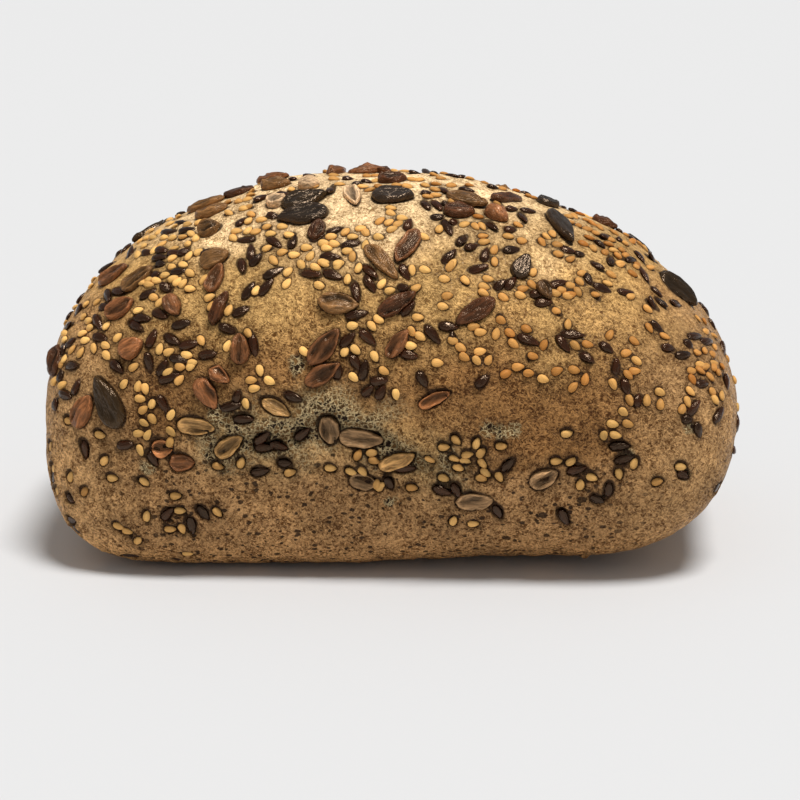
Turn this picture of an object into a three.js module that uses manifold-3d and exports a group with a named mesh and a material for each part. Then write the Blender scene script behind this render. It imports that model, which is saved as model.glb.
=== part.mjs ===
// A multiseed tin loaf in millimetres, +Z up: one solid, the crust with its large seeds fused on.
// The loaf lies along X and stands on its flat base at Z = 0, with its middle over the origin.

import * as THREE from 'three';
import { mergeVertices } from 'three/addons/utils/BufferGeometryUtils.js';
import Module from 'manifold-3d';

const { degToRad, lerp, smoothstep } = THREE.MathUtils;

// ---- the loaf ----
const HALF_LENGTH = 88.5;
const HALF_WIDTH = 47.5;
const WAIST_LEVEL = 39.8;       // the tin's rim: the loaf is longest and widest here
const DOME_RISE = 54.9;         // from the waist to the top
const TIN_SQUARENESS = 7;       // power of the plan's superellipse in the tin, near a rectangle
const DOME_SQUARENESS = 2.8;    // and on the dome, near an ellipse
const DOME_POWER = { side: 2.2, left: 2.15, right: 1.75 };   // upright section above the waist
const FOOT_POWER = { left: 5, right: 3 };                    // and below it
const FOOT_DEPTH = 1.03 * WAIST_LEVEL;            // a little under the base, so the base is cut flat
const TIN_TAPER = 0.03;         // the tin is this share narrower at its base
const TAPER_REACH = 0.6;        // sine of the slope down from the middle where the taper is full
const LEFT_TO_RIGHT = 0.6;      // how soon the powers change along the loaf
const SIDE_TO_END = 1.2;        // and from the long sides round to the ends
const CRUST_CELLS = { length: 24, width: 13, height: 13 };

// Swellings and dips of the crust: where they point from the middle, how wide, how high.
const SWELLINGS = [
  { turn: 5, tilt: 33, spread: 11, height: 2 },
  { turn: 0, tilt: 56, spread: 11, height: -0.6 },
  { turn: 180, tilt: 66, spread: 14, height: 1.7 },
  { turn: -32, tilt: -24, spread: 10, height: 1.5 },
  { turn: -14, tilt: -18, spread: 10, height: -0.8 },
  { turn: 208, tilt: -26, spread: 9, height: 1.5 },
];

// The tear where the dome broke away over the tin's rim, along each long side.
const TEAR = { level: 40, hump: 4.5, humpAt: -11, humpSpread: 8, drop: 5.5, dropLength: 14 };
const TEAR_STEP = 0.8;          // the dome stands out this far over it, and the side falls in
const TEAR_FADE = 7;            // how far up and down the step reaches
const NARROWEST_REACH = 0.05;   // towards the ends, where a side's distance has no meaning
const TEAR_MIDDLE = -6;
const TEAR_HALF_LENGTH = 42;

// ---- the seeds ----
const PUMPKIN = { length: 12.6, width: 5.6, thickness: 3, sides: 8, rings: 5 };
const SUNFLOWER = { length: 9.8, width: 4.3, thickness: 2.7, sides: 6, rings: 4 };
const FLAX = { length: 4.9, width: 2.5, thickness: 1.4, sides: 5, rings: 3 };
const TIP_TAPER = 0.38;         // how much a seed narrows from its middle to its tip
const LYING_DEPTH = 0.3;        // share of the thickness that is pressed into the crust
const SUNK_DEPTH = 0.8;         // the same for seeds baked flush into the tin side
const LONGEST_STRETCH = 1.25;   // a seed seen end on is made at most this much over its length
const LEAST_SLANT = 0.25;       // a crust seen at less than this slant is taken as seen at it

// The view in which the seeds below were noted, with the loaf's long side towards it.
const VIEW_DISTANCE = 560;
const VIEW_ELEVATION = degToRad(17);
const VIEW_TURN = degToRad(5);
const VIEW_ROLL = degToRad(0.67);
const VIEW_TARGET = new THREE.Vector3(1.35, 0, 34.8);
const VIEW_MIDDLE = 400;        // pixels from the left and from the top
const MM_PER_PIXEL = 0.266;     // at the target's distance

// Each seed that shows: pixels across and down, lean of its tip in degrees anticlockwise from
// the right, length and width in pixels.
const PUMPKIN_SEEDS = [
  [305, 201, 15, 45, 18], [303, 216, 189, 49, 22], [393, 198, 0, 41, 18], [547, 206, -20, 23, 14],
  [560, 228, -52, 36, 17], [677, 290, -38, 48, 24], [108, 402, 114, 53, 27], [522, 267, 60, 22, 18],
];
const TOP_SUNFLOWER_SEEDS = [
  [368, 171, 4, 39, 14], [380, 166, -20, 19, 12], [337, 171, 25, 18, 12], [392, 182, 0, 28, 14],
  [277, 186, 10, 29, 13], [272, 178, 3, 31, 12], [240, 193, 12, 30, 13], [309, 187, 0, 19, 11],
  [277, 203, 35, 18, 13], [353, 197, -70, 20, 15], [206, 205, 18, 40, 15], [212, 212, 20, 34, 14],
  [211, 230, 20, 24, 14], [467, 202, -18, 41, 14], [459, 212, -4, 29, 15], [506, 202, 0, 32, 11],
  [496, 216, -30, 22, 13], [606, 223, -30, 26, 12],
];
const DOME_SUNFLOWER_SEEDS = [
  [318, 232, 60, 20, 14], [382, 263, -45, 41, 15], [407, 247, 235, 36, 17], [114, 275, 32, 33, 16],
  [138, 279, 42, 37, 12], [122, 309, 30, 29, 20], [175, 307, -60, 20, 16], [132, 349, 30, 24, 18],
  [216, 260, 18, 28, 16], [216, 279, 65, 28, 14], [55, 361, 75, 28, 14], [221, 309, 65, 34, 12],
  [339, 304, -5, 38, 25], [325, 347, 48, 42, 24], [241, 349, 90, 28, 18], [397, 304, 30, 40, 16],
  [398, 344, 55, 31, 15], [323, 374, 33, 37, 16], [475, 312, 212, 41, 18], [543, 291, -50, 18, 12],
  [85, 411, 65, 33, 17], [208, 393, -60, 32, 18], [221, 375, -35, 22, 13],
];
const SIDE_SUNFLOWER_SEEDS = [
  [197, 427, -5, 36, 16], [230, 446, 38, 30, 17], [163, 449, 0, 21, 17], [183, 463, 0, 24, 16],
  [276, 408, -27, 31, 13], [434, 399, 25, 32, 12], [329, 431, 275, 28, 19], [361, 439, -5, 42, 17],
  [397, 461, 20, 35, 15], [364, 482, -8, 28, 15], [474, 501, 3, 36, 15], [543, 479, 27, 28, 17],
];

// Seeds where the view doesn't reach, and the smaller ones, follow one even sequence of places.
const FAR_TRIES = 150;
const PUMPKIN_EVERY = 8;        // one far seed in this many is a pumpkin seed
const FLAX_TRIES = 62;
const SEQUENCE_ACROSS = 0.7548776662;   // steps of the even two-way sequence, as shares of its range
const SEQUENCE_UP = 0.569840291;
const GOLDEN_ANGLE = degToRad(137.5);
const LOWEST_FAR = 0.06;        // lowest direction of a far seed from the middle, as its sine
const CLEARANCE = 8.5;          // between the middles of far seeds
const FLAX_CLEARANCE = 6;
const UNSEEN = -0.06;           // a crust facing the view by less than this is hidden from it

const TINY = 1e-6;
const BASE_FLATNESS = 1e-3;
const SAME_PLACE = 1e-4;
const MIDDLE = new THREE.Vector3(0, 0, WAIST_LEVEL);
const UP = new THREE.Vector3(0, 0, 1);

// ---- the crust's form ----

const ease = (t) => smoothstep(t, 0, 1);
const bell = (t) => Math.exp(-t * t);

// Unit vector at a turn about Z from +X and a tilt above level.
function pointing(turn, tilt) {
  return new THREE.Vector3(Math.cos(tilt) * Math.cos(turn), Math.cos(tilt) * Math.sin(turn),
    Math.sin(tilt));
}

const SWELLING_AXES = SWELLINGS.map(({ turn, tilt }) => pointing(degToRad(turn), degToRad(tilt)));

// Height of the tear at a distance along the side, as seen facing that side.
function tearLevel(along) {
  return TEAR.level + TEAR.hump * bell((along - TEAR.humpAt) / TEAR.humpSpread)
    - TEAR.drop * ease(along / TEAR.dropLength);
}

// The tear's step: out above its line, in below, dying away up, down and towards its ends.
function tearStep(d) {
  const reach = HALF_WIDTH / Math.max(Math.abs(d.y), NARROWEST_REACH);
  const along = -Math.sign(d.y) * d.x * reach;
  const above = WAIST_LEVEL + d.z * reach - tearLevel(along);
  const window = bell(((along - TEAR_MIDDLE) / TEAR_HALF_LENGTH) ** 2);
  return TEAR_STEP * window * Math.tanh(above) * bell(above / TEAR_FADE);
}

// Distance from the middle to the crust along unit vector d: a superellipsoid whose powers
// change from tin to dome, from left to right and from the ends to the long sides, plus the
// swellings and the tear, cut off at the base.
function crustRadius(d) {
  const right = ease(0.5 + LEFT_TO_RIGHT * d.x);
  const towardsEnd = ease(SIDE_TO_END * Math.abs(d.x) / (Math.abs(d.x) + Math.abs(d.y) + TINY));
  const endPower = lerp(DOME_POWER.left, DOME_POWER.right, right);
  const planPower = lerp(TIN_SQUARENESS, DOME_SQUARENESS, ease(0.5 + d.z));
  const power = d.z > 0 ? lerp(DOME_POWER.side, endPower, towardsEnd)
    : lerp(FOOT_POWER.left, FOOT_POWER.right, right);
  const depth = d.z > 0 ? DOME_RISE : FOOT_DEPTH;
  const narrowing = 1 - TIN_TAPER * ease(-d.z / TAPER_REACH);
  const plan = (Math.abs(d.x / (HALF_LENGTH * narrowing)) ** planPower
    + Math.abs(d.y / (HALF_WIDTH * narrowing)) ** planPower) ** (1 / planPower);
  let radius = (plan ** power + Math.abs(d.z / depth) ** power) ** (-1 / power);
  SWELLINGS.forEach(({ spread, height }, i) => {
    radius += height * bell(d.angleTo(SWELLING_AXES[i]) / degToRad(spread));
  });
  radius += tearStep(d);
  return d.z < -TINY ? Math.min(radius, WAIST_LEVEL / -d.z) : radius;
}

function crustPoint(direction) {
  const d = direction.clone().normalize();
  return d.multiplyScalar(crustRadius(d)).add(MIDDLE);
}

// How far a point stands outside the crust, measured from the middle.
function standsOut(point) {
  const d = point.clone().sub(MIDDLE);
  const distance = d.length();
  return distance - crustRadius(d.divideScalar(distance));
}

// The crust's outward normal, from the change of standsOut each way.
function crustNormal(point) {
  const slope = ['x', 'y', 'z'].map((axis) => {
    const ahead = point.clone();
    const behind = point.clone();
    ahead[axis] += 1;
    behind[axis] -= 1;
    return standsOut(ahead) - standsOut(behind);
  });
  return new THREE.Vector3(...slope).normalize();
}

// A box's grid blown up to the crust, each vertex moved along its own direction.
function crustGeometry() {
  const { length, width, height } = CRUST_CELLS;
  const box = new THREE.BoxGeometry(2 * HALF_LENGTH, 2 * HALF_WIDTH, 2 * WAIST_LEVEL,
    length, width, height);
  const places = box.attributes.position;
  const vertex = new THREE.Vector3();
  for (let i = 0; i < places.count; i += 1) {
    const onCrust = crustPoint(vertex.fromBufferAttribute(places, i));
    places.setXYZ(i, onCrust.x, onCrust.y, Math.abs(onCrust.z) < BASE_FLATNESS ? 0 : onCrust.z);
  }
  return box;
}

// ---- from a pixel of the view to a place on the crust ----

const VIEW_BACK = new THREE.Vector3(Math.sin(VIEW_TURN) * Math.cos(VIEW_ELEVATION),
  -Math.cos(VIEW_TURN) * Math.cos(VIEW_ELEVATION), Math.sin(VIEW_ELEVATION));
const VIEW_FROM = VIEW_BACK.clone().multiplyScalar(VIEW_DISTANCE).add(VIEW_TARGET);
const VIEW_RIGHT = UP.clone().cross(VIEW_BACK).normalize();
const VIEW_UP = VIEW_BACK.clone().cross(VIEW_RIGHT);

// The vector in the view's plane for a step across and up the picture, in millimetres.
function inView(across, up) {
  const x = across * Math.cos(VIEW_ROLL) + up * Math.sin(VIEW_ROLL);
  const y = up * Math.cos(VIEW_ROLL) - across * Math.sin(VIEW_ROLL);
  return VIEW_RIGHT.clone().multiplyScalar(x * MM_PER_PIXEL).addScaledVector(VIEW_UP, y * MM_PER_PIXEL);
}

// The crust under a pixel, or the crust nearest to its line of sight where that passes by.
function crustSeenAt(across, down) {
  const aim = inView(across - VIEW_MIDDLE, VIEW_MIDDLE - down).add(VIEW_TARGET);
  const sight = aim.sub(VIEW_FROM).normalize();
  const at = (distance) => VIEW_FROM.clone().addScaledVector(sight, distance);
  let nearest = VIEW_DISTANCE - 2 * HALF_WIDTH;
  for (let s = nearest; s < VIEW_DISTANCE + 2 * HALF_WIDTH; s += 1) {
    if (standsOut(at(s)) < standsOut(at(nearest))) nearest = s;
    if (standsOut(at(s)) < 0) break;
  }
  return { point: crustPoint(at(nearest).sub(MIDDLE)), sight };
}

// ---- the seeds' form and place ----

// A teardrop lying along Y, flat in Z: a sphere stretched to the seed's size, narrower to its tip.
function seedGeometry(kind, length, width) {
  const drop = new THREE.SphereGeometry(1, kind.sides, kind.rings);
  const places = drop.attributes.position;
  for (let i = 0; i < places.count; i += 1) {
    const y = places.getY(i);
    const narrowing = 1 - TIP_TAPER * y;
    places.setXYZ(i, places.getX(i) * narrowing * width / 2, y * length / 2,
      places.getZ(i) * narrowing * kind.thickness / 2);
  }
  return drop;
}

// A seed pressed into the crust at a point, with its tip along a tangent.
function layer(kind, point, along, depth, length = kind.length, width = kind.width) {
  const normal = crustNormal(point);
  const tip = along.clone().addScaledVector(normal, -along.dot(normal)).normalize();
  const side = tip.clone().cross(normal);
  const lift = (0.5 - depth) * kind.thickness;
  const place = new THREE.Matrix4().makeBasis(side, tip, normal)
    .setPosition(point.clone().addScaledVector(normal, lift));
  return { point, geometry: seedGeometry(kind, length, width).applyMatrix4(place) };
}

// A seed noted in the view. Its lean in the picture is carried along the sight on to the crust.
function seenSeed(kind, [across, down, lean, length, width], depth) {
  const { point, sight } = crustSeenAt(across, down);
  const normal = crustNormal(point);
  const shown = inView(Math.cos(degToRad(lean)), Math.sin(degToRad(lean))).normalize();
  const slant = Math.max(-sight.dot(normal), LEAST_SLANT);
  const along = shown.clone().addScaledVector(sight, shown.dot(normal) / slant);
  const trueLength = Math.min(length * MM_PER_PIXEL * along.length(), kind.length * LONGEST_STRETCH);
  return layer(kind, point, along, depth, trueLength, width * MM_PER_PIXEL);
}

function isClear(point, seeds, clearance) {
  return seeds.every((seed) => seed.point.distanceTo(point) > clearance);
}

// The nth place of the even sequence over the dome, and the way its seed lies.
function evenPlace(n) {
  const turn = 2 * Math.PI * ((n * SEQUENCE_ACROSS) % 1);
  const rise = LOWEST_FAR + (1 - LOWEST_FAR) * ((0.5 + n * SEQUENCE_UP) % 1);
  const level = pointing(turn, Math.asin(rise));
  level.x *= HALF_LENGTH / HALF_WIDTH;
  return { point: crustPoint(level), along: pointing(n * GOLDEN_ANGLE, 0) };
}

function largeSeeds() {
  const seeds = PUMPKIN_SEEDS.map((noted) => seenSeed(PUMPKIN, noted, LYING_DEPTH));
  for (const noted of [...TOP_SUNFLOWER_SEEDS, ...DOME_SUNFLOWER_SEEDS]) {
    seeds.push(seenSeed(SUNFLOWER, noted, LYING_DEPTH));
  }
  for (const noted of SIDE_SUNFLOWER_SEEDS) seeds.push(seenSeed(SUNFLOWER, noted, SUNK_DEPTH));
  for (let n = 1; n <= FAR_TRIES; n += 1) {
    const { point, along } = evenPlace(n);
    const hidden = crustNormal(point).dot(VIEW_BACK) < UNSEEN;
    if (hidden && isClear(point, seeds, CLEARANCE)) {
      seeds.push(layer(n % PUMPKIN_EVERY === 0 ? PUMPKIN : SUNFLOWER, point, along, LYING_DEPTH));
    }
  }
  return seeds;
}

function addFlax(seeds) {
  for (let n = 1; n <= FLAX_TRIES; n += 1) {
    const { point, along } = evenPlace(FAR_TRIES + n);
    if (isClear(point, seeds, FLAX_CLEARANCE)) seeds.push(layer(FLAX, point, along, LYING_DEPTH));
  }
}

// ---- fusing ----

const wasm = await Module();
wasm.setup();

function toSolid(geometry) {
  const bare = geometry.clone();
  bare.deleteAttribute('normal');
  bare.deleteAttribute('uv');
  const merged = mergeVertices(bare, SAME_PLACE);
  return new wasm.Manifold(new wasm.Mesh({
    numProp: 3,
    vertProperties: new Float32Array(merged.attributes.position.array),
    triVerts: new Uint32Array(merged.index.array),
  }));
}

function toGeometry(solid) {
  const mesh = solid.getMesh();
  const geometry = new THREE.BufferGeometry();
  geometry.setAttribute('position', new THREE.BufferAttribute(mesh.vertProperties, 3));
  geometry.setIndex(new THREE.BufferAttribute(mesh.triVerts, 1));
  geometry.computeVertexNormals();
  return geometry;
}

const seeds = largeSeeds();
addFlax(seeds);
let fused = toSolid(crustGeometry());
for (const { geometry } of seeds) fused = fused.add(toSolid(geometry));
// Loose scraps and sealed hollows come apart as shells of their own: the loaf is the largest.
const [loaf] = fused.decompose().sort((a, b) => b.volume() - a.volume());

const crust = new THREE.MeshStandardMaterial({ color: 0xa98459, roughness: 0.75, metalness: 0 });
const loafMesh = new THREE.Mesh(toGeometry(loaf), crust);
loafMesh.name = 'loaf';

const bread = new THREE.Group();
bread.add(loafMesh);

export default bread;
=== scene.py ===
import itertools
from dataclasses import dataclass, replace
from functools import lru_cache

import bpy
import numpy as np
from bpy.props import FloatProperty, FloatVectorProperty, PointerProperty
from bpy.types import Operator, Panel, PropertyGroup
from mathutils import Matrix, Vector


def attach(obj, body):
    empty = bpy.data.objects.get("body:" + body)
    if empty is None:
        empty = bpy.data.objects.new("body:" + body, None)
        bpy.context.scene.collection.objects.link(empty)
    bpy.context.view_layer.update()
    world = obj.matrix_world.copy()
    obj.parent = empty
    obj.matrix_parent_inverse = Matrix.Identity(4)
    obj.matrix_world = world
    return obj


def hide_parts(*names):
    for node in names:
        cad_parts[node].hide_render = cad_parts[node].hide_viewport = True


bl_info = {
    "name": "Multiseed Bread",
    "version": (1, 0, 0),
    "blender": (4, 5, 0),
    "location": "3D View > Sidebar > Bread",
    "description": "The crust and the seeds of a multiseed tin loaf, with a plain stage for it",
    "category": "Object",
}

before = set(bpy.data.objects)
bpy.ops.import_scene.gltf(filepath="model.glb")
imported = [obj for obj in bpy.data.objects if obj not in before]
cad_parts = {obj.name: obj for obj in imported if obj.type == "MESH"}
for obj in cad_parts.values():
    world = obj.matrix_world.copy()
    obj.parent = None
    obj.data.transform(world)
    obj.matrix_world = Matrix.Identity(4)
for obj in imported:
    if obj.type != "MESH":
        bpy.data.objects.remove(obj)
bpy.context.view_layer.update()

MM = 0.001  # forms are worked out in millimetres, meshes are in metres
TINY = 1e-6


def srgb(code):
    """Linear red, green and blue of a colour written as six hexadecimal digits."""
    level = np.array([int(code[i:i + 2], 16) for i in (0, 2, 4)]) / 255
    return tuple(np.where(level <= 0.04045, level / 12.92, ((level + 0.055) / 1.055) ** 2.4))


# ---- the loaf's form, as its solid has it ----

HALF_LENGTH = 88.5
HALF_WIDTH = 47.5
WAIST_LEVEL = 39.8  # the tin's rim: the loaf is longest and widest here
DOME_RISE = 54.9
TIN_SQUARENESS = 7
DOME_SQUARENESS = 2.8
SIDE_POWER = 2.2
LEFT_POWER = 2.15
RIGHT_POWER = 1.75
LEFT_FOOT_POWER = 5
RIGHT_FOOT_POWER = 3
FOOT_DEPTH = 1.03 * WAIST_LEVEL
TIN_TAPER = 0.03
TAPER_REACH = 0.6
LEFT_TO_RIGHT = 0.6
SIDE_TO_END = 1.2
MIDDLE = np.array([0, 0, WAIST_LEVEL])

# Swellings and dips: turn and tilt in degrees of where they point, spread in degrees, height.
SWELLINGS = [
    (5, 33, 11, 2), (0, 56, 11, -0.6), (180, 66, 14, 1.7),
    (-32, -24, 10, 1.5), (-14, -18, 10, -0.8), (208, -26, 9, 1.5),
]

TEAR_LEVEL = 40
TEAR_HUMP = 4.5
TEAR_HUMP_AT = -11
TEAR_HUMP_SPREAD = 8
TEAR_DROP = 5.5
TEAR_DROP_LENGTH = 14
TEAR_STEP = 0.8
TEAR_FADE = 7
TEAR_MIDDLE = -6
TEAR_HALF_LENGTH = 42
NARROWEST_REACH = 0.05

# The crust's grid: steps along each side of a box, the box's half sizes, and how unevenly the
# steps are spaced, so that its cells come out alike once it is blown up to the loaf.
CRUST_STEPS = (206, 70, 122)
CRUST_BOX = np.array([88.5, 40, 60])
CRUST_SPACING = np.radians([50, 33, 46])

# ---- the view in which seeds were noted, with the loaf's long side towards it ----

VIEW_DISTANCE = 560
VIEW_ELEVATION = np.radians(17)
VIEW_TURN = np.radians(5)
VIEW_ROLL = np.radians(0.67)
VIEW_TARGET = np.array([1.35, 0, 34.8])
VIEW_PIXELS = 800
VIEW_MIDDLE = VIEW_PIXELS / 2
MM_PER_PIXEL = 0.266  # at the target's distance
SENSOR = 36
VIEW_BACK = np.array([np.sin(VIEW_TURN) * np.cos(VIEW_ELEVATION),
                      -np.cos(VIEW_TURN) * np.cos(VIEW_ELEVATION), np.sin(VIEW_ELEVATION)])
LEVEL_RIGHT = np.array([np.cos(VIEW_TURN), np.sin(VIEW_TURN), 0])
LEVEL_UP = np.cross(VIEW_BACK, LEVEL_RIGHT)
VIEW_RIGHT = np.cos(VIEW_ROLL) * LEVEL_RIGHT - np.sin(VIEW_ROLL) * LEVEL_UP
VIEW_UP = np.sin(VIEW_ROLL) * LEVEL_RIGHT + np.cos(VIEW_ROLL) * LEVEL_UP
VIEW_FROM = VIEW_TARGET + VIEW_BACK * VIEW_DISTANCE

# A row of these tables holds the pixels across and down at which a seed was seen, the lean of its
# tip in degrees anticlockwise from the right, its length and width in pixels, and its tone. Small
# seeds have the first columns alone.
ACROSS, DOWN, LEAN, LENGTH, WIDTH, TONE = range(6)

# Large seeds that show, and those baked flush into the tin side.
PUMPKIN_SEEN = [
    (305, 201, 15, 45, 18, "green"), (303, 216, 189, 49, 22, "black"), (393, 198, 0, 41, 18, "black"),
    (547, 206, -20, 23, 14, "black"), (560, 228, -52, 36, 17, "black"), (677, 290, -38, 48, 20, "green"),
    (108, 402, 114, 53, 27, "green"), (522, 267, 60, 22, 18, "black"),
]
SUNFLOWER_SEEN = [
    (368, 171, 4, 39, 14, "red"), (380, 166, -20, 19, 12, "dark"), (337, 171, 25, 18, 12, "red"),
    (392, 182, 0, 28, 14, "dark"), (277, 186, 10, 29, 13, "olive"), (272, 178, 3, 31, 12, "red"),
    (240, 193, 12, 30, 13, "dark"), (309, 187, 0, 19, 11, "pale"), (277, 203, 35, 18, 13, "pale"),
    (353, 197, -70, 20, 15, "pale"), (206, 205, 18, 40, 15, "olive"), (212, 212, 20, 34, 14, "olive"),
    (211, 230, 20, 24, 14, "olive"), (467, 202, -18, 41, 14, "olive"), (459, 212, -4, 29, 15, "dark"),
    (506, 202, 0, 32, 11, "dark"), (496, 216, -30, 22, 13, "red"), (606, 223, -30, 26, 12, "dark"),
    (318, 232, 60, 20, 14, "dark"), (382, 263, -45, 41, 15, "olive"), (407, 247, 235, 36, 17, "red"),
    (114, 275, 32, 33, 16, "red"), (138, 279, 42, 37, 12, "olive"), (122, 309, 30, 29, 20, "orange"),
    (175, 307, -60, 20, 16, "red"), (132, 349, 30, 24, 18, "orange"), (216, 260, 18, 28, 16, "olive"),
    (216, 279, 65, 28, 14, "red"), (58, 361, 75, 30, 9, "dark"), (221, 309, 65, 34, 12, "dark"),
    (339, 304, -5, 38, 25, "olive"), (325, 347, 48, 42, 24, "red"), (241, 349, 90, 28, 18, "red"),
    (397, 304, 30, 40, 16, "dark"), (398, 344, 55, 31, 15, "red"), (323, 374, 33, 37, 16, "red"),
    (475, 312, 212, 41, 18, "dark"), (543, 291, -50, 18, 12, "grey"), (85, 411, 65, 33, 17, "orange"),
    (208, 393, -60, 32, 18, "orange"), (221, 375, -35, 22, 13, "orange"),
]
SUNK_SUNFLOWER_SEEN = [
    (197, 427, -5, 36, 16, "tan"), (230, 446, 38, 30, 17, "tan"), (163, 449, 0, 21, 17, "amber"),
    (183, 463, 0, 24, 16, "orange"), (276, 408, -27, 31, 13, "tan"), (434, 399, 25, 32, 12, "amber"),
    (329, 431, 275, 28, 19, "dull"), (361, 439, -5, 42, 17, "dull"), (397, 461, 20, 35, 15, "tan"),
    (364, 482, -8, 28, 15, "dull"), (474, 501, 3, 36, 15, "dull"), (543, 479, 27, 28, 17, "dull"),
]

# Large seeds with one edge off the crust: pixels across and down, share turned to the view.
PROUD = {(677, 290): 0.9, (475, 312): 0.4, (339, 304): 0.3, (325, 347): 0.4, (398, 344): 0.5}

# Flax seeds, whose width is always the same.
FLAX_SEEN = [
    (241, 222, 50, 12), (247, 241, 183, 19), (275, 243, -38, 17), (293, 242, 75, 15), (252, 254, 90, 15),
    (257, 261, 45, 16), (243, 267, -75, 15), (263, 198, 30, 20), (283, 195, -8, 15), (293, 180, 0, 8),
    (348, 180, 0, 12), (358, 185, 0, 11), (367, 183, -5, 12), (309, 176, 0, 12), (331, 191, 60, 12),
    (274, 217, -10, 13), (318, 239, 20, 16), (335, 231, 20, 17), (351, 245, 12, 20), (331, 258, -5, 20),
    (426, 175, -50, 17), (414, 175, 0, 12), (452, 179, -15, 14), (461, 180, 0, 9), (434, 176, 0, 8),
    (426, 194, 0, 11), (444, 192, -50, 10), (466, 192, -15, 16), (426, 206, -60, 11), (437, 206, -50, 13),
    (445, 204, 0, 7), (437, 217, 3, 13), (447, 228, -60, 23), (454, 222, 0, 9), (408, 227, 65, 12),
    (462, 240, 45, 14), (471, 247, 20, 13), (485, 255, 75, 14), (449, 257, 45, 18), (511, 250, 8, 17),
    (510, 230, 0, 12), (491, 226, -40, 17), (522, 219, -65, 12), (527, 213, -10, 15), (511, 211, 0, 11),
    (526, 195, -5, 11), (492, 190, -15, 12), (562, 208, 0, 9), (567, 250, -20, 17), (576, 210, 10, 11),
    (579, 254, 0, 10), (605, 237, 15, 9), (600, 244, -40, 13), (611, 260, 80, 10), (631, 260, 5, 14),
    (639, 257, -55, 14), (651, 260, -30, 15), (620, 232, -20, 8), (597, 266, -40, 16), (619, 241, -30, 8),
    (633, 237, -60, 10), (126, 248, 60, 18), (131, 253, 60, 18), (108, 268, 40, 22), (147, 253, 0, 9),
    (162, 250, -5, 11), (174, 253, 5, 14), (185, 252, 30, 14), (169, 231, 12, 17), (181, 222, 5, 11),
    (187, 230, 12, 16), (181, 213, 0, 7), (210, 253, 12, 18), (159, 257, 8, 14), (160, 264, 0, 10),
    (120, 292, -25, 12), (109, 296, -70, 14), (105, 307, 0, 10), (149, 294, 35, 18), (168, 289, -35, 13),
    (155, 275, 8, 11), (180, 272, 12, 16), (143, 319, -5, 18), (136, 326, -38, 18), (161, 315, -25, 16),
    (183, 325, 15, 19), (99, 323, -70, 20), (101, 338, -15, 14), (153, 339, 65, 19), (174, 340, -28, 18),
    (189, 345, 15, 19), (209, 355, 8, 18), (181, 360, -15, 19), (82, 298, 60, 16), (80, 310, 45, 14),
    (70, 316, 80, 10), (69, 327, 35, 12), (64, 350, 70, 14), (72, 343, 35, 12), (58, 359, 70, 12),
    (73, 366, 0, 13), (61, 376, 75, 12), (77, 387, 70, 16), (66, 395, -20, 13), (56, 404, 80, 13),
    (119, 367, -45, 17), (150, 363, -80, 20), (163, 404, -60, 18), (163, 368, 60, 18), (171, 378, 20, 22),
    (274, 273, 28, 22), (249, 291, 58, 20), (267, 288, 52, 21), (311, 275, -12, 22), (333, 276, -20, 20),
    (370, 272, -42, 19), (370, 285, -60, 18), (356, 292, -75, 22), (357, 315, 12, 22), (348, 340, 45, 19),
    (368, 338, -45, 21), (255, 346, -80, 21), (230, 330, -20, 19), (242, 312, 25, 18), (405, 273, -60, 16),
    (403, 289, 0, 12), (478, 269, 10, 20), (499, 286, 40, 14), (510, 284, 50, 16), (557, 284, 15, 17),
    (535, 295, 0, 12), (543, 303, 5, 17), (408, 309, 45, 18), (448, 327, -5, 19), (432, 335, -52, 24),
    (409, 355, -10, 18), (527, 341, -22, 22), (562, 344, -55, 20), (452, 337, 0, 6), (572, 335, -5, 24),
    (657, 291, -45, 15), (653, 304, -48, 17), (661, 302, -50, 16), (676, 303, -10, 13), (644, 275, -60, 16),
    (588, 279, -70, 13), (601, 289, -20, 19), (626, 292, -8, 16), (656, 327, -35, 17), (605, 348, -35, 16),
    (694, 336, 5, 14), (705, 342, -8, 14), (688, 344, -45, 12), (668, 348, 0, 13), (682, 355, 10, 14),
    (615, 367, 85, 17), (586, 358, -35, 16), (703, 305, 85, 10), (711, 325, -60, 14), (705, 312, -45, 12),
    (721, 350, -75, 16), (338, 372, 80, 15), (356, 363, -60, 18), (364, 370, 75, 20), (422, 379, -60, 17),
    (482, 381, 40, 17), (294, 397, -20, 19), (239, 396, 70, 13), (233, 406, 15, 20), (126, 445, 8, 17),
    (625, 387, -70, 17), (636, 400, 75, 13), (685, 419, 0, 10), (700, 384, 5, 12), (724, 382, -75, 16),
    (734, 450, 0, 8), (692, 408, 55, 17), (697, 430, -70, 15), (717, 415, 60, 16), (735, 421, 85, 14),
    (738, 426, 80, 12), (379, 381, 5, 17), (381, 392, 65, 15), (368, 390, 45, 14),
]
SUNK_FLAX_SEEN = [
    (245, 419, 0, 19), (303, 434, 40, 18), (263, 438, 40, 19), (264, 448, 0, 18), (279, 446, -15, 18),
    (285, 463, 0, 14), (260, 472, 12, 18), (84, 450, -85, 18), (154, 459, -60, 17), (70, 499, -45, 10),
    (71, 521, 0, 8), (53, 474, 85, 18), (76, 531, -50, 12), (168, 514, 50, 15), (203, 514, -50, 17),
    (192, 526, -80, 17), (111, 556, 0, 14), (131, 557, 0, 16), (178, 560, 0, 10), (405, 468, 3, 22),
    (389, 484, -60, 13), (442, 490, -20, 18), (456, 490, -60, 15), (497, 511, -60, 15), (507, 464, 50, 17),
    (618, 446, 0, 20), (623, 459, 15, 20), (576, 470, 15, 20), (607, 489, 80, 14), (597, 500, -20, 14),
    (563, 517, -65, 17), (682, 475, -30, 12), (717, 487, 40, 8),
]

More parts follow.
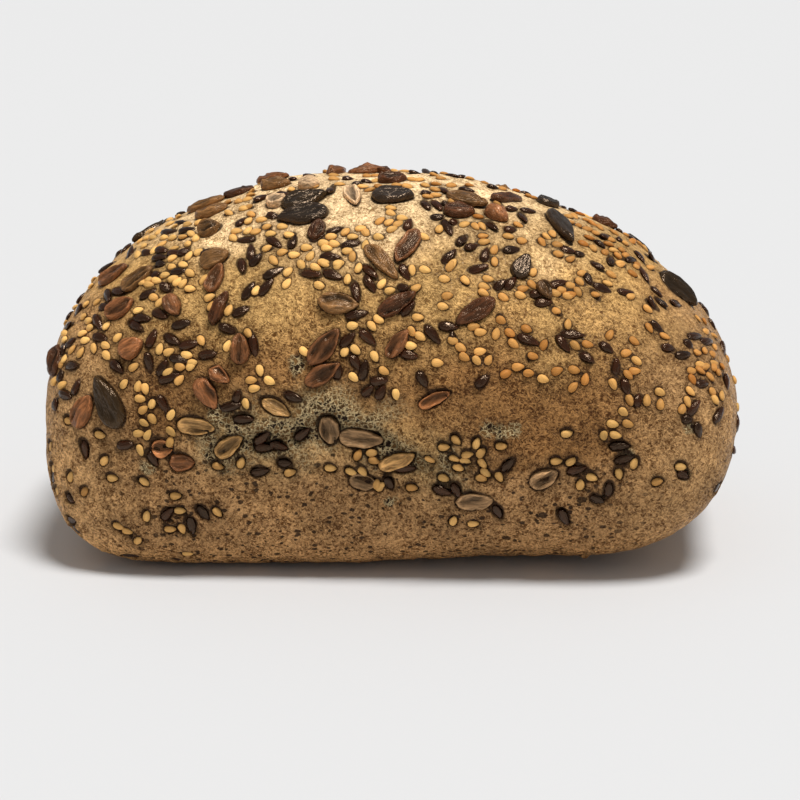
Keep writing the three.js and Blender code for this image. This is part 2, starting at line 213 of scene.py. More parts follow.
# Sesame seeds, which are all of one size.
SESAME_SEEN = [
    (228, 202, -10), (239, 202, 0), (248, 200, 10), (251, 196, 0), (252, 192, 0), (230, 214, -10),
    (249, 208, 0), (244, 209, 0), (252, 215, -30), (249, 221, 60), (262, 220, 5), (267, 227, -10),
    (237, 232, 5), (248, 231, 50), (256, 232, 30), (234, 239, -45), (271, 234, 0), (290, 235, 10),
    (283, 227, 0), (332, 238, 5), (324, 244, 0), (335, 245, -5), (327, 249, -10), (346, 233, 50),
    (361, 229, 15), (366, 234, -45), (353, 238, -5), (379, 238, -5), (366, 246, 80), (348, 252, 15),
    (353, 257, 80), (267, 249, 0), (283, 253, 5), (295, 256, 10), (307, 248, 3), (311, 257, 55),
    (274, 261, -50), (324, 263, -5), (339, 264, 10), (380, 222, 30), (391, 215, -20), (389, 224, 30),
    (391, 210, -10), (392, 231, 20), (368, 176, 0), (376, 176, 0), (376, 182, 0), (363, 188, 0),
    (370, 191, 0), (379, 188, 0), (340, 186, 0), (334, 180, 0), (334, 175, 0), (292, 190, 60),
    (262, 183, 0), (270, 182, 0), (314, 188, 0), (395, 172, 0), (406, 173, 0), (412, 182, 0),
    (419, 182, 0), (425, 187, -25), (436, 186, 0), (441, 181, 0), (451, 187, 0), (434, 178, 0),
    (445, 176, 0), (435, 191, -15), (428, 198, 0), (436, 196, 0), (397, 187, 0), (407, 188, 0),
    (469, 188, 0), (470, 182, 0), (484, 186, -35), (502, 192, 0), (516, 194, 0), (528, 199, 0),
    (534, 201, 0), (497, 206, 0), (453, 202, 0), (464, 225, 10), (475, 227, -50), (482, 227, -55),
    (478, 217, -25), (439, 229, 75), (483, 236, 10), (484, 242, -5), (494, 250, 65), (508, 237, -20),
    (522, 241, 5), (518, 226, -10), (552, 235, -50), (542, 243, -40), (546, 238, -15), (557, 245, -10),
    (558, 254, -25), (494, 262, 85), (402, 220, 0), (398, 225, 25), (424, 237, -20), (452, 265, 45),
    (568, 218, -30), (574, 218, -35), (570, 224, -35), (580, 215, -25), (586, 217, -20), (578, 227, -40),
    (587, 222, -30), (592, 225, -30), (587, 230, -15), (599, 229, -40), (589, 238, -25), (595, 234, -40),
    (614, 234, -30), (610, 240, -25), (627, 235, 30), (583, 244, -25), (593, 248, -55), (609, 244, -20),
    (614, 250, -15), (622, 250, 0), (625, 244, -10), (632, 242, 0), (605, 252, 50), (618, 256, -10),
    (626, 255, 20), (640, 245, -35), (644, 249, -50), (570, 259, 20), (620, 264, 0), (637, 265, 10),
    (144, 246, -8), (178, 217, -20), (170, 223, 25), (174, 226, 0), (187, 225, 12), (199, 222, 50),
    (192, 234, -25), (183, 236, -5), (172, 237, 5), (164, 237, 0), (153, 237, 10), (147, 238, 15),
    (141, 241, 35), (162, 244, 35), (174, 248, 15), (188, 244, -40), (197, 238, 60), (154, 250, 60),
    (138, 255, 80), (173, 258, 20), (189, 256, 60), (200, 253, 35), (151, 232, 0), (158, 232, 50),
    (169, 219, 0), (92, 287, 10), (95, 281, 0), (87, 304, 80), (97, 302, 20), (73, 307, 0),
    (84, 317, 0), (89, 321, 10), (66, 323, 0), (108, 326, 60), (91, 328, 0), (84, 334, 20),
    (87, 341, 0), (66, 334, 0), (66, 340, 0), (120, 338, 40), (107, 346, -30), (96, 349, -80),
    (82, 353, 60), (73, 350, 45), (107, 356, -50), (66, 359, 80), (62, 365, 0), (144, 283, 0),
    (149, 280, 0), (150, 285, 0), (158, 281, -15), (165, 275, 0), (173, 279, 20), (178, 282, 50),
    (184, 284, 40), (192, 290, 0), (191, 274, -35), (184, 265, -10), (172, 267, -10), (205, 280, 40),
    (155, 298, -20), (161, 303, 40), (139, 311, 10), (211, 298, 15), (212, 307, 65), (203, 341, -60),
    (161, 349, 75), (170, 352, 20), (188, 355, -10), (194, 363, 10), (289, 273, 45), (287, 284, 50),
    (302, 266, -50), (316, 268, -20), (325, 265, -8), (339, 267, 25), (359, 269, 80), (348, 280, 85),
    (320, 286, -15), (382, 284, 50), (390, 292, 20), (379, 320, -30), (372, 327, -50), (353, 326, 5),
    (230, 311, 60), (256, 291, 70), (250, 334, -45), (229, 346, 65), (305, 352, -40), (345, 352, 60),
    (356, 350, -40), (375, 357, -60), (412, 271, -75), (425, 271, -15), (450, 267, 50), (444, 280, -5),
    (465, 281, -55), (488, 279, -15), (484, 287, -15), (483, 294, -30), (533, 272, 55), (522, 290, 10),
    (520, 296, -15), (531, 286, -45), (554, 294, -15), (561, 291, 0), (568, 296, 0), (416, 289, 35),
    (447, 297, 5), (443, 307, -20), (503, 298, -30), (555, 312, -35), (418, 318, -5), (500, 321, -50),
    (412, 332, -70), (420, 337, -35), (411, 346, -3), (473, 327, 5), (480, 332, 0), (495, 334, 80),
    (526, 330, -25), (509, 334, -35), (512, 344, -35), (544, 345, 60), (453, 341, -10), (461, 348, -30),
    (480, 352, 5), (464, 357, -35), (476, 361, -45), (488, 360, 60), (531, 357, -5), (566, 325, 75),
    (437, 363, -5), (518, 367, 5), (527, 373, -10), (505, 374, 20), (542, 379, -20), (556, 371, 20),
    (573, 370, -15), (584, 379, 80), (572, 387, 45), (582, 273, 20), (579, 283, -20), (570, 286, 0),
    (570, 295, 15), (577, 292, -50), (594, 296, -55), (611, 275, -30), (607, 284, -15), (620, 265, 0),
    (636, 267, 15), (632, 274, -30), (650, 268, -20), (631, 296, 15), (648, 309, -30), (649, 328, -55),
    (665, 336, -20), (609, 335, 60), (634, 341, -30), (574, 346, -40), (587, 345, -15), (625, 353, 10),
    (636, 361, -35), (697, 319, -70), (703, 322, 30), (705, 332, 0), (713, 337, -50), (703, 351, 50),
    (697, 353, 0), (713, 348, 0), (711, 355, 0), (712, 364, 0), (699, 365, 0), (703, 367, 0),
    (691, 371, 5), (699, 371, -40), (691, 380, -60), (708, 378, -60), (712, 368, 85), (720, 367, 85),
    (716, 373, 0), (710, 392, -20), (713, 400, -60), (719, 396, 75), (688, 392, -50), (685, 402, -70),
    (681, 409, 75), (725, 359, 80), (734, 380, 85), (735, 407, 80), (626, 375, -35), (634, 371, 0),
    (612, 384, -70), (628, 400, -60), (646, 400, 85), (659, 404, 85), (658, 392, -30), (623, 412, -50),
    (627, 424, -20), (611, 424, -15), (603, 435, -75), (614, 435, -10), (124, 384, 40), (135, 367, 30),
    (139, 386, 75), (147, 389, -75), (142, 399, -15), (153, 403, 80), (144, 410, 40), (153, 419, -55),
    (146, 423, -50), (140, 433, 3), (150, 434, 55), (173, 414, 55), (173, 431, -50), (172, 441, 75),
    (141, 450, -70), (169, 372, 40), (180, 367, -10), (180, 380, 45), (193, 366, 40), (261, 371, -80),
    (253, 380, 0), (270, 381, -30), (256, 388, 15), (247, 404, -55), (63, 385, 40), (55, 381, 60),
    (384, 371, -25), (354, 377, -45), (395, 394, -75),
]
SUNK_SESAME_SEEN = [
    (101, 435, -10), (104, 461, 45), (69, 477, 70), (84, 492, 60), (112, 479, 0), (144, 483, -30),
    (68, 421, 0), (219, 466, -15), (241, 463, 75), (177, 496, 5), (181, 511, 0), (147, 516, 80),
    (218, 513, -45), (170, 530, -3), (183, 529, -65), (119, 527, -20), (128, 532, -10), (139, 541, 60),
    (188, 555, 3), (50, 446, 80), (53, 468, 80), (56, 491, 75), (331, 468, -5), (290, 473, 15),
    (358, 455, 60), (372, 453, 5), (374, 461, -15), (351, 472, -20), (363, 471, -50), (380, 487, 50),
    (377, 484, 80), (412, 488, -3), (430, 459, -30), (444, 447, 5), (456, 440, -45), (476, 443, 75),
    (481, 453, 50), (467, 454, 10), (454, 458, -25), (465, 460, -10), (482, 463, -50), (458, 467, -20),
    (485, 472, -40), (481, 478, -15), (499, 477, -60), (501, 446, 5), (444, 478, -20), (473, 523, 0),
    (453, 520, 70), (566, 434, 8), (556, 462, 5), (571, 462, 35), (618, 474, -75), (590, 477, -20),
    (580, 485, 85), (634, 464, 65), (656, 482, 15), (680, 467, -5),
]

# Small torn patches: pixels across and down, radius in pixels.
TORN_PATCHES = [
    (488, 430, 8), (500, 431, 9), (512, 429, 7), (298, 365, 9), (440, 486, 7), (150, 468, 8),
    (222, 415, 10), (210, 452, 9), (690, 428, 6), (628, 455, 7), (684, 475, 7), (390, 500, 7),
]

# Round dents: pixels across and down, radius in pixels, depth in millimetres.
DENTS = [
    (288, 504, 11, 0.5), (417, 512, 11, 0.5), (382, 506, 5, 0.8), (307, 543, 6, 0.8), (346, 546, 6, 0.8),
    (508, 398, 8, 0.7), (497, 430, 10, 0.4), (292, 309, 4, 0.6), (294, 327, 4, 0.6), (283, 303, 3, 0.6),
    (183, 463, 14, 0.8), (587, 558, 6, -0.9),
]


@dataclass(frozen=True)
class Kind:
    """A kind of seed: its usual size in millimetres, and how it is laid and drawn."""
    name: str
    length: float
    width: float
    thickness: float
    taper: float  # how much it narrows from its middle to its tip
    tilt: float  # how unevenly it is tipped, as a share of its normal
    stub: float  # how much thicker a short, wide one is
    sides: int
    rings: int


PUMPKIN = Kind("pumpkin", 12.6, 5.6, 3.0, 0.3, 0, 0, 24, 10)
SUNFLOWER = Kind("sunflower", 9.8, 4.3, 2.6, 0.2, 0.05, 0.4, 28, 16)
FLAX = Kind("flax", 4.8, 2.35, 1.25, 0.25, 0.14, 0, 8, 6)
SESAME = Kind("sesame", 3.1, 2.05, 1.2, 0.22, 0.2, 0, 8, 6)
KINDS = (PUMPKIN, SUNFLOWER, FLAX, SESAME)
SIZES = ("length", "width", "thickness")
LYING_DEPTH = 0.3  # share of the thickness that is pressed into the crust
SUNK_DEPTH = 0.9  # the same for seeds baked flush into the tin side
HALF_SUNK = 0.5  # a seed pressed in deeper than this counts as sunk
LONGEST_STRETCH = 1.25  # seeds noted in the view are no longer than this times the usual
WIDEST_STRETCH = 1.2
LEAST_SLANT = 0.25
SIGHT_STEP = 0.5  # between places tried along a line of sight, in millimetres

# Where the view doesn't reach, large seeds follow an even sequence of places.
FAR_TRIES = 150
PUMPKIN_EVERY = 8
SEQUENCE_ACROSS = 0.7548776662
SEQUENCE_UP = 0.569840291
GOLDEN_ANGLE = np.radians(137.5)
LOWEST_FAR = 0.06
CLEARANCE = 8.5
UNSEEN = -0.06  # normals leaning this far from the view or more aren't seen

# The small seeds there are the near ones turned half way round, each moved at random.
FAR_SHIFT = 4.0
FAR_SEED = 7
FLAX_CLEARANCE = 4.5
SESAME_CLEARANCE = 2.6


# ---- arithmetic on whole arrays ----

def ease(t):
    """Smooth step: 0 below 0, 1 above 1, 3t^2 - 2t^3 between."""
    t = np.clip(t, 0, 1)
    return t * t * (3 - 2 * t)


def bell(t):
    """Gaussian bump: e to the power of -t^2."""
    return np.exp(-t * t)


def unit(vectors):
    return vectors / np.linalg.norm(vectors, axis=-1, keepdims=True)


def dot(a, b):
    return np.sum(a * b, axis=-1, keepdims=True)


LATTICE_STEPS = 64
LATTICE = np.random.default_rng(11).uniform(-1, 1, (LATTICE_STEPS,) * 3)
LAYER_SHIFT = np.array([17.3, 5.9, 29.1])


def noise(points, size, layer=0):
    """Smooth noise of -1 to 1: random values on a lattice of one step size, eased between neighbours."""
    place = points / size + LAYER_SHIFT * layer
    cell = np.floor(place).astype(int)
    part = ease(place - cell)
    level = np.zeros(len(points))
    for corner in itertools.product((0, 1), repeat=3):
        weight = np.prod(np.where(corner, part, 1 - part), axis=1)
        level += weight * LATTICE[tuple(((cell + corner) % LATTICE_STEPS).T)]
    return level


def layers(points, *rows):
    """Layers of noise added up. A row holds a height, a size in millimetres and a layer's number."""
    return sum(height * noise(points, size, layer) for height, size, layer in rows)


# ---- the crust's form ----

def pointing(turn, tilt):
    """Unit vectors at turns about Z from +X and tilts above level, in radians."""
    return np.stack([np.cos(tilt) * np.cos(turn), np.cos(tilt) * np.sin(turn),
                     np.sin(tilt) + 0 * turn], -1)


def tear_height(points):
    """How far points stand over the tear's line: a level line with a gaussian hump and a step down."""
    along = -np.sign(points[:, 1]) * points[:, 0]
    line = (TEAR_LEVEL + TEAR_HUMP * bell((along - TEAR_HUMP_AT) / TEAR_HUMP_SPREAD)
            - TEAR_DROP * ease(along / TEAR_DROP_LENGTH))
    return points[:, 2] - line, along


def crust_radius(d):
    """Distance from the middle to the crust along unit vectors.

    A superellipsoid: plan = (|x/length|^p + |y/width|^p)^(1/p), then (plan^q + |z/rise|^q)^(-1/q),
    where p falls from tin to dome and q changes from left to right and from the ends to the long
    sides. Gaussian swellings and the tear's step are added, and the base cuts it off.
    """
    x, y, z = d.T
    right = ease(0.5 + LEFT_TO_RIGHT * x)
    to_end = ease(SIDE_TO_END * abs(x) / (abs(x) + abs(y) + TINY))
    end_power = LEFT_POWER + (RIGHT_POWER - LEFT_POWER) * right
    p = TIN_SQUARENESS + (DOME_SQUARENESS - TIN_SQUARENESS) * ease(0.5 + z)
    q = np.where(z > 0, SIDE_POWER + (end_power - SIDE_POWER) * to_end,
                 LEFT_FOOT_POWER + (RIGHT_FOOT_POWER - LEFT_FOOT_POWER) * right)
    rise = np.where(z > 0, DOME_RISE, FOOT_DEPTH)
    narrowing = 1 - TIN_TAPER * ease(-z / TAPER_REACH)
    plan = (abs(x / (HALF_LENGTH * narrowing)) ** p + abs(y / (HALF_WIDTH * narrowing)) ** p) ** (1 / p)
    radius = (plan ** q + abs(z / rise) ** q) ** (-1 / q)
    for turn, tilt, spread, height in SWELLINGS:
        axis = pointing(np.radians(turn), np.radians(tilt))
        radius += height * bell(np.arccos(np.clip(d @ axis, -1, 1)) / np.radians(spread))
    reach = HALF_WIDTH / np.maximum(abs(y), NARROWEST_REACH)
    above, along = tear_height(MIDDLE + d * reach[:, None])
    window = bell(((along - TEAR_MIDDLE) / TEAR_HALF_LENGTH) ** 2)
    radius += TEAR_STEP * window * np.tanh(above) * bell(above / TEAR_FADE)
    return np.where(z < -TINY, np.minimum(radius, WAIST_LEVEL / np.maximum(-z, TINY)), radius)


def crust_points(directions):
    """Points of the crust in given directions from the middle."""
    d = unit(directions)
    return MIDDLE + d * crust_radius(d)[:, None]


def stands_out(points):
    """How far points stand outside the crust, measured from the middle."""
    distance = np.linalg.norm(points - MIDDLE, axis=1)
    return distance - crust_radius((points - MIDDLE) / distance[:, None])


def crust_normals(points, reach=0.6):
    """Outward normals: the change of stands_out from behind to ahead along each axis."""
    steps = np.eye(3) * reach
    return unit(np.stack([stands_out(points + s) - stands_out(points - s) for s in steps], -1))


def slow_relief(points):
    """The crust's slow unevenness, which the seeds ride on."""
    return layers(points, (0.45, 24, 1), (0.3, 10, 2))


# ---- from a pixel of the view to a place on the crust ----

def in_view(across, up):
    """Vectors in the view's plane for steps across and up the picture, in millimetres."""
    return (np.multiply.outer(across, VIEW_RIGHT) + np.multiply.outer(up, VIEW_UP)) * MM_PER_PIXEL


def crust_seen_at(across, down):
    """The crust under pixels, or the crust nearest to their lines of sight where those pass by."""
    sight = unit(in_view(across - VIEW_MIDDLE, VIEW_MIDDLE - down) + VIEW_TARGET - VIEW_FROM)
    reach = np.arange(VIEW_DISTANCE - 2 * HALF_WIDTH, VIEW_DISTANCE + 2 * HALF_WIDTH, SIGHT_STEP)
    out = np.stack([stands_out(VIEW_FROM + sight * s) for s in reach])
    first = np.where((out < 0).any(0), (out < 0).argmax(0), out.argmin(0))
    return crust_points(VIEW_FROM + sight * reach[first][:, None] - MIDDLE), sight


def circles_seen(rows):
    """Centres on the crust and radii in millimetres of circles noted in pixels."""
    across, down, radius = np.array(rows, float).T[:3]
    return crust_seen_at(across, down)[0], radius * MM_PER_PIXEL


# ---- where the seeds lie ----

@dataclass
class Laid:
    """Seeds of one kind where they lie: a row for each, in millimetres."""
    kind: Kind
    point: np.ndarray
    tip: np.ndarray  # unit vector along the crust towards the pointed end
    normal: np.ndarray
    length: np.ndarray
    width: np.ndarray
    depth: np.ndarray  # share of the thickness pressed into the crust
    tone: np.ndarray  # name of its colour, or None where the kind has just one

    def side(self):
        return np.cross(self.tip, self.normal)

    def sunk(self):
        return self.depth > HALF_SUNK

    def columns(self):
        return self.point, self.tip, self.normal, self.length, self.width, self.depth, self.tone

    def pick(self, keep):
        return Laid(self.kind, *(column[keep] for column in self.columns()))


def lay(kind, point, along, depth, length=None, width=None, tone=None, normal=None):
    """Seeds at crust points with their tips along the crust: along less its share of the normal."""
    count = len(point)
    normal = crust_normals(point) if normal is None else normal
    if depth < HALF_SUNK:
        normal = unit(normal + kind.tilt * np.random.default_rng(count).normal(0, 1, normal.shape))
    tip = unit(along - normal * dot(along, normal))
    length = np.full(count, kind.length) if length is None else length
    width = np.full(count, kind.width) if width is None else width
    tone = np.full(count, tone, object) if tone is None else np.array(tone, object)
    return Laid(kind, point, tip, normal, length, width, np.full(count, depth), tone)


def lay_seen(kind, noted, depth):
    """Seeds noted in the view. Each lean is carried along the sight on to the crust."""
    tone = [row[TONE] for row in noted] if len(noted[0]) > TONE else None
    rows = np.array([row[:TONE] for row in noted], float)
    point, sight = crust_seen_at(rows[:, ACROSS], rows[:, DOWN])
    proud = np.array([PROUD.get(row[:LEAN], 0) for row in noted])
    normal = unit(crust_normals(point) + proud[:, None] * VIEW_BACK)
    lean = np.radians(rows[:, LEAN])
    shown = unit(in_view(np.cos(lean), np.sin(lean)))
    slant = np.maximum(-dot(sight, normal), LEAST_SLANT)
    along = shown + sight * dot(shown, normal) / slant
    stretch = np.linalg.norm(along, axis=1)
    usual = kind.length / MM_PER_PIXEL / stretch
    pixels = rows[:, LENGTH] if rows.shape[1] > LENGTH else usual
    length = np.minimum(pixels * MM_PER_PIXEL * stretch, kind.length * LONGEST_STRETCH)
    laid = lay(kind, point, along, depth, length, None, tone, normal)
    if rows.shape[1] > WIDTH:
        seen = np.linalg.norm(np.cross(laid.side(), sight), axis=1)
        laid.width = np.minimum(rows[:, WIDTH] * MM_PER_PIXEL / seen, kind.width * WIDEST_STRETCH)
    return laid


def join(*parts):
    """Several sets of laid seeds of one kind as one."""
    return Laid(parts[0].kind, *map(np.concatenate, zip(*(part.columns() for part in parts))))


def far_places(taken):
    """Even places over the dome that the view doesn't reach, each clear of those already taken.

    Returns their numbers in the sequence, their points and tips, and every point now taken.
    """
    n = np.arange(1, FAR_TRIES + 1)
    turn = 2 * np.pi * ((n * SEQUENCE_ACROSS) % 1)
    rise = LOWEST_FAR + (1 - LOWEST_FAR) * ((0.5 + n * SEQUENCE_UP) % 1)
    level = pointing(turn, np.arcsin(rise)) * [HALF_LENGTH / HALF_WIDTH, 1, 1]
    point = crust_points(level)
    kept = []
    for i in np.flatnonzero(crust_normals(point) @ VIEW_BACK < UNSEEN):
        if (np.linalg.norm(taken - point[i], axis=1) > CLEARANCE).all():
            taken = np.vstack([taken, point[i]])
            kept.append(i)
    return n[kept], point[kept], pointing(n * GOLDEN_ANGLE, np.zeros(FAR_TRIES))[kept], taken


def turned_about(near, taken, clearance, rng):
    """Near seeds turned half way round the loaf, moved a little at random, kept where the view
    doesn't reach and where they are clear of the seeds already taken."""
    half_turn = np.array([-1, -1, 1])
    moved = near.point * half_turn + rng.normal(0, FAR_SHIFT, near.point.shape)
    point = crust_points(moved - MIDDLE)
    far = lay(near.kind, point, pointing(rng.uniform(0, 2 * np.pi, len(point)), np.zeros(len(point))),
              LYING_DEPTH, near.length, near.width, near.tone)
    far.depth = near.depth
    keep = far.normal @ VIEW_BACK < UNSEEN
    for i in np.flatnonzero(keep):
        keep[i] = (np.linalg.norm(taken - point[i], axis=1) > clearance).all()
    return far.pick(keep)


@lru_cache(maxsize=None)
def all_seeds(kinds):
    """Every seed on the loaf, by kind: the large ones, then small ones clear of them."""
    pumpkin, sunflower, flax, sesame = kinds
    rng = np.random.default_rng(FAR_SEED)
    near_pumpkin = lay_seen(pumpkin, PUMPKIN_SEEN, LYING_DEPTH)
    near_sunflower = join(lay_seen(sunflower, SUNFLOWER_SEEN, LYING_DEPTH),
                          lay_seen(sunflower, SUNK_SUNFLOWER_SEEN, SUNK_DEPTH))
    number, point, along, large = far_places(np.concatenate([near_pumpkin.point, near_sunflower.point]))
    first = number % PUMPKIN_EVERY == 0
    far_pumpkin = lay(pumpkin, point[first], along[first], LYING_DEPTH,
                      tone=["green"] * np.count_nonzero(first))
    tones = [SUNFLOWER_SEEN[i % len(SUNFLOWER_SEEN)][TONE] for i in number[~first]]
    far_sunflower = lay(sunflower, point[~first], along[~first], LYING_DEPTH, tone=tones)
    near_flax = join(lay_seen(flax, FLAX_SEEN, LYING_DEPTH), lay_seen(flax, SUNK_FLAX_SEEN, SUNK_DEPTH))
    near_sesame = join(lay_seen(sesame, SESAME_SEEN, LYING_DEPTH),
                       lay_seen(sesame, SUNK_SESAME_SEEN, SUNK_DEPTH))
    every_flax = join(near_flax, turned_about(near_flax, large, FLAX_CLEARANCE, rng))
    taken = np.concatenate([large, every_flax.point])
    return {"pumpkin": join(near_pumpkin, far_pumpkin), "sunflower": join(near_sunflower, far_sunflower),
            "flax": every_flax,
            "sesame": join(near_sesame, turned_about(near_sesame, taken, SESAME_CLEARANCE, rng))}


def seeds_for(context):
    """Every seed, with the usual sizes of its kind as they are set in the sidebar."""
    look = context.scene.bread_sizes
    sized = []
    for kind in KINDS:
        sizes = {size: getattr(look, f"{kind.name}_{size}") / MM for size in SIZES}
        sized.append(replace(kind, **sizes))
    return all_seeds(tuple(sized))


# ---- meshes ----

def closed_faces(rings, sides):
    """Corners and sizes of the faces between rings of points, closed by a pole at each end."""
    ring, side = np.meshgrid(np.arange(rings - 1), np.arange(sides), indexing="ij")

    def corner(r, s):
        return 1 + r * sides + s % sides

    quads = np.stack([corner(ring, side), corner(ring + 1, side), corner(ring + 1, side + 1),
                      corner(ring, side + 1)], -1)
    s = np.arange(sides)
    last = 1 + rings * sides
    start = np.stack([0 * s, corner(0, s), corner(0, s + 1)], -1)
    end = np.stack([0 * s + last, corner(rings - 1, s + 1), corner(rings - 1, s)], -1)
    sizes = np.repeat([4, 3], [quads.size // 4, 2 * sides])
    return np.concatenate([quads.ravel(), start.ravel(), end.ravel()]), sizes


def add_mesh(name, points, corners, sizes, material):
    """A smooth mesh object at the origin from points in millimetres and its faces' corners."""
    mesh = bpy.data.meshes.new(name)
    mesh.vertices.add(len(points))
    mesh.vertices.foreach_set("co", (points * MM).astype(np.float32).ravel())
    mesh.loops.add(len(corners))
    mesh.loops.foreach_set("vertex_index", corners.astype(np.int32))
    mesh.polygons.add(len(sizes))
    mesh.polygons.foreach_set("loop_start", (np.cumsum(sizes) - sizes).astype(np.int32))
    mesh.update(calc_edges=True)
    mesh.validate()
    mesh.shade_smooth()
    mesh.materials.append(material)
    piece = bpy.data.objects.new(name, mesh)
    bpy.context.scene.collection.objects.link(piece)
    return piece


ATTRIBUTE_KINDS = {1: ("FLOAT", "value"), 3: ("FLOAT_VECTOR", "vector"), 4: ("FLOAT_COLOR", "color")}


def add_attribute(piece, name, values):
    """A value, a vector or a colour for each vertex, that the material reads by name."""
    kind, field = ATTRIBUTE_KINDS[values.size // len(values)]
    layer = piece.data.attributes.new(name, kind, "POINT")
    layer.data.foreach_set(field, values.astype(np.float32).ravel())


def add_tint(piece, colours):
    """A colour for each vertex, which its finish starts from."""
    add_attribute(piece, "tint", np.column_stack([colours, np.ones(len(colours))]))


# ---- shader nodes ----

def add_node(tree, kind, inputs=None, **settings):
    """A shader node with its settings, and each input either linked or set."""
    node = tree.nodes.new("ShaderNode" + kind)
    for key, value in settings.items():
        setattr(node, key, value)
    for key, value in (inputs or {}).items():
        if isinstance(value, bpy.types.NodeSocket):
            tree.links.new(value, node.inputs[key])
        else:
            node.inputs[key].default_value = value
    return node


def attribute(tree, name, output="Fac"):
    return add_node(tree, "Attribute", attribute_name=name).outputs[output]


def grain(tree, vector, size, detail=2, roughness=0.6, distortion=0.0):
    """Noise of 0 to 1 whose features are about one size, in millimetres."""
    inputs = {"Vector": vector, "Scale": 1 / (size * MM), "Detail": detail, "Roughness": roughness,
              "Distortion": distortion}
    return add_node(tree, "TexNoise", inputs).outputs


def spread(tree, value, low, high, to_low=0.0, to_high=1.0):
    """A smooth step of a value from one range to another."""
    inputs = {"Value": value, "From Min": low, "From Max": high, "To Min": to_low, "To Max": to_high}
    return add_node(tree, "MapRange", inputs, interpolation_type="SMOOTHSTEP").outputs["Result"]


def patches(tree, vector, size, softness, **settings):
    """Noise sharpened to patches of 0 and 1 with soft edges."""
    return spread(tree, grain(tree, vector, size, **settings)["Fac"], 0.5 - softness, 0.5 + softness)


def calc(tree, operation, a, b=0.0, c=0.0):
    """Arithmetic on one, two or three values."""
    return add_node(tree, "Math", {0: a, 1: b, 2: c}, operation=operation).outputs[0]


def total(tree, level, *parts):
    """A level plus each value times its weight."""
    for value, weight in parts:
        level = calc(tree, "MULTIPLY_ADD", value, weight, level)
    return level


def blend(tree, factor, a, b, how="MIX"):
    """Two colours mixed or multiplied."""
    return add_node(tree, "Mix", {0: factor, 6: a, 7: b}, data_type="RGBA", blend_type=how).outputs[2]


def new_finish(name, **fixed):
    """A material with its shader, and that shader's constant sockets set."""
    material = bpy.data.materials.new(name)
    material.use_nodes = True
    tree = material.node_tree
    shader = tree.nodes["Principled BSDF"]
    for key, value in fixed.items():
        shader.inputs[key.replace("_", " ")].default_value = value
    return material, tree, shader


def bump(tree, shader, height, depth):
    """Fine relief of a given depth in millimetres."""
    inputs = {"Height": height, "Strength": 1.0, "Distance": depth * MM}
    tree.links.new(add_node(tree, "Bump", inputs).outputs["Normal"], shader.inputs["Normal"])


def winding_lines(tree, vector, size, thickness, distortion):
    """Thin winding lines, 1 along them and 0 away: where noise passes through its middle value."""
    value = grain(tree, vector, size, detail=1, distortion=distortion)["Fac"]
    off = calc(tree, "ABSOLUTE", calc(tree, "SUBTRACT", value, 0.5))
    return spread(tree, off, 0.0, thickness, 1, 0)


def cells(tree, vector, size, **settings):
    """Voronoi cells about one size, in millimetres."""
    return add_node(tree, "TexVoronoi", {"Vector": vector, "Scale": 1 / (size * MM)}, **settings).outputs


def bent(tree, vector, size, amount):
    """Places pushed about by noise of one size, by an amount in millimetres, to bend what is drawn."""
    push = grain(tree, vector, size, detail=3)["Color"]
    inputs = {0: push, 1: (amount * MM,) * 3, 2: vector}
    return add_node(tree, "VectorMath", inputs, operation="MULTIPLY_ADD").outputs["Vector"]


def stretched(tree, vector, scale):
    """Places scaled along each axis, so that what is drawn gets narrower where the scale is over 1."""
    return add_node(tree, "Mapping", {"Vector": vector, "Scale": scale}).outputs["Vector"]


def red_of(tree, colour):
    """A random value of 0 to 1 from a random colour."""
    return add_node(tree, "SeparateColor", {"Color": colour}).outputs["Red"]


def walls(tree, vector, size, thickness):
    """A net of thin walls between cells, 1 on the walls and 0 inside the cells."""
    away = cells(tree, vector, size, feature="DISTANCE_TO_EDGE")["Distance"]
    return spread(tree, away, 0.0, thickness, 1, 0)


def pores(tree, vector, size, rare, widest, rim=0.07):
    """Round pores: cells about one size, those over a random share open as far as the widest."""
    each = cells(tree, vector, size)
    radius = spread(tree, red_of(tree, each["Color"]), rare, 1.0, 0.0, widest)
    return spread(tree, calc(tree, "SUBTRACT", radius, each["Distance"]), 0.0, rim)


# ---- finishes ----

CRUMB_SIZE = 1.15
DEEPEST = (0.3, 0.21, 0.11, 1)  # the crust's tint times this where its patterns are darkest
BRIGHTEST = (1.8, 1.8, 1.8, 1)  # and where they are lightest
CRUST_ROUGHNESS = (0.6, 0.38)  # between the specks and on them
WARM_GLOSS = (1.0, 0.7, 0.46, 1)
STREAK_DRAW = (1, 0.22, 1)  # draws a seed's streaks out along it


def opaque(colour):
    return (*colour, 1)


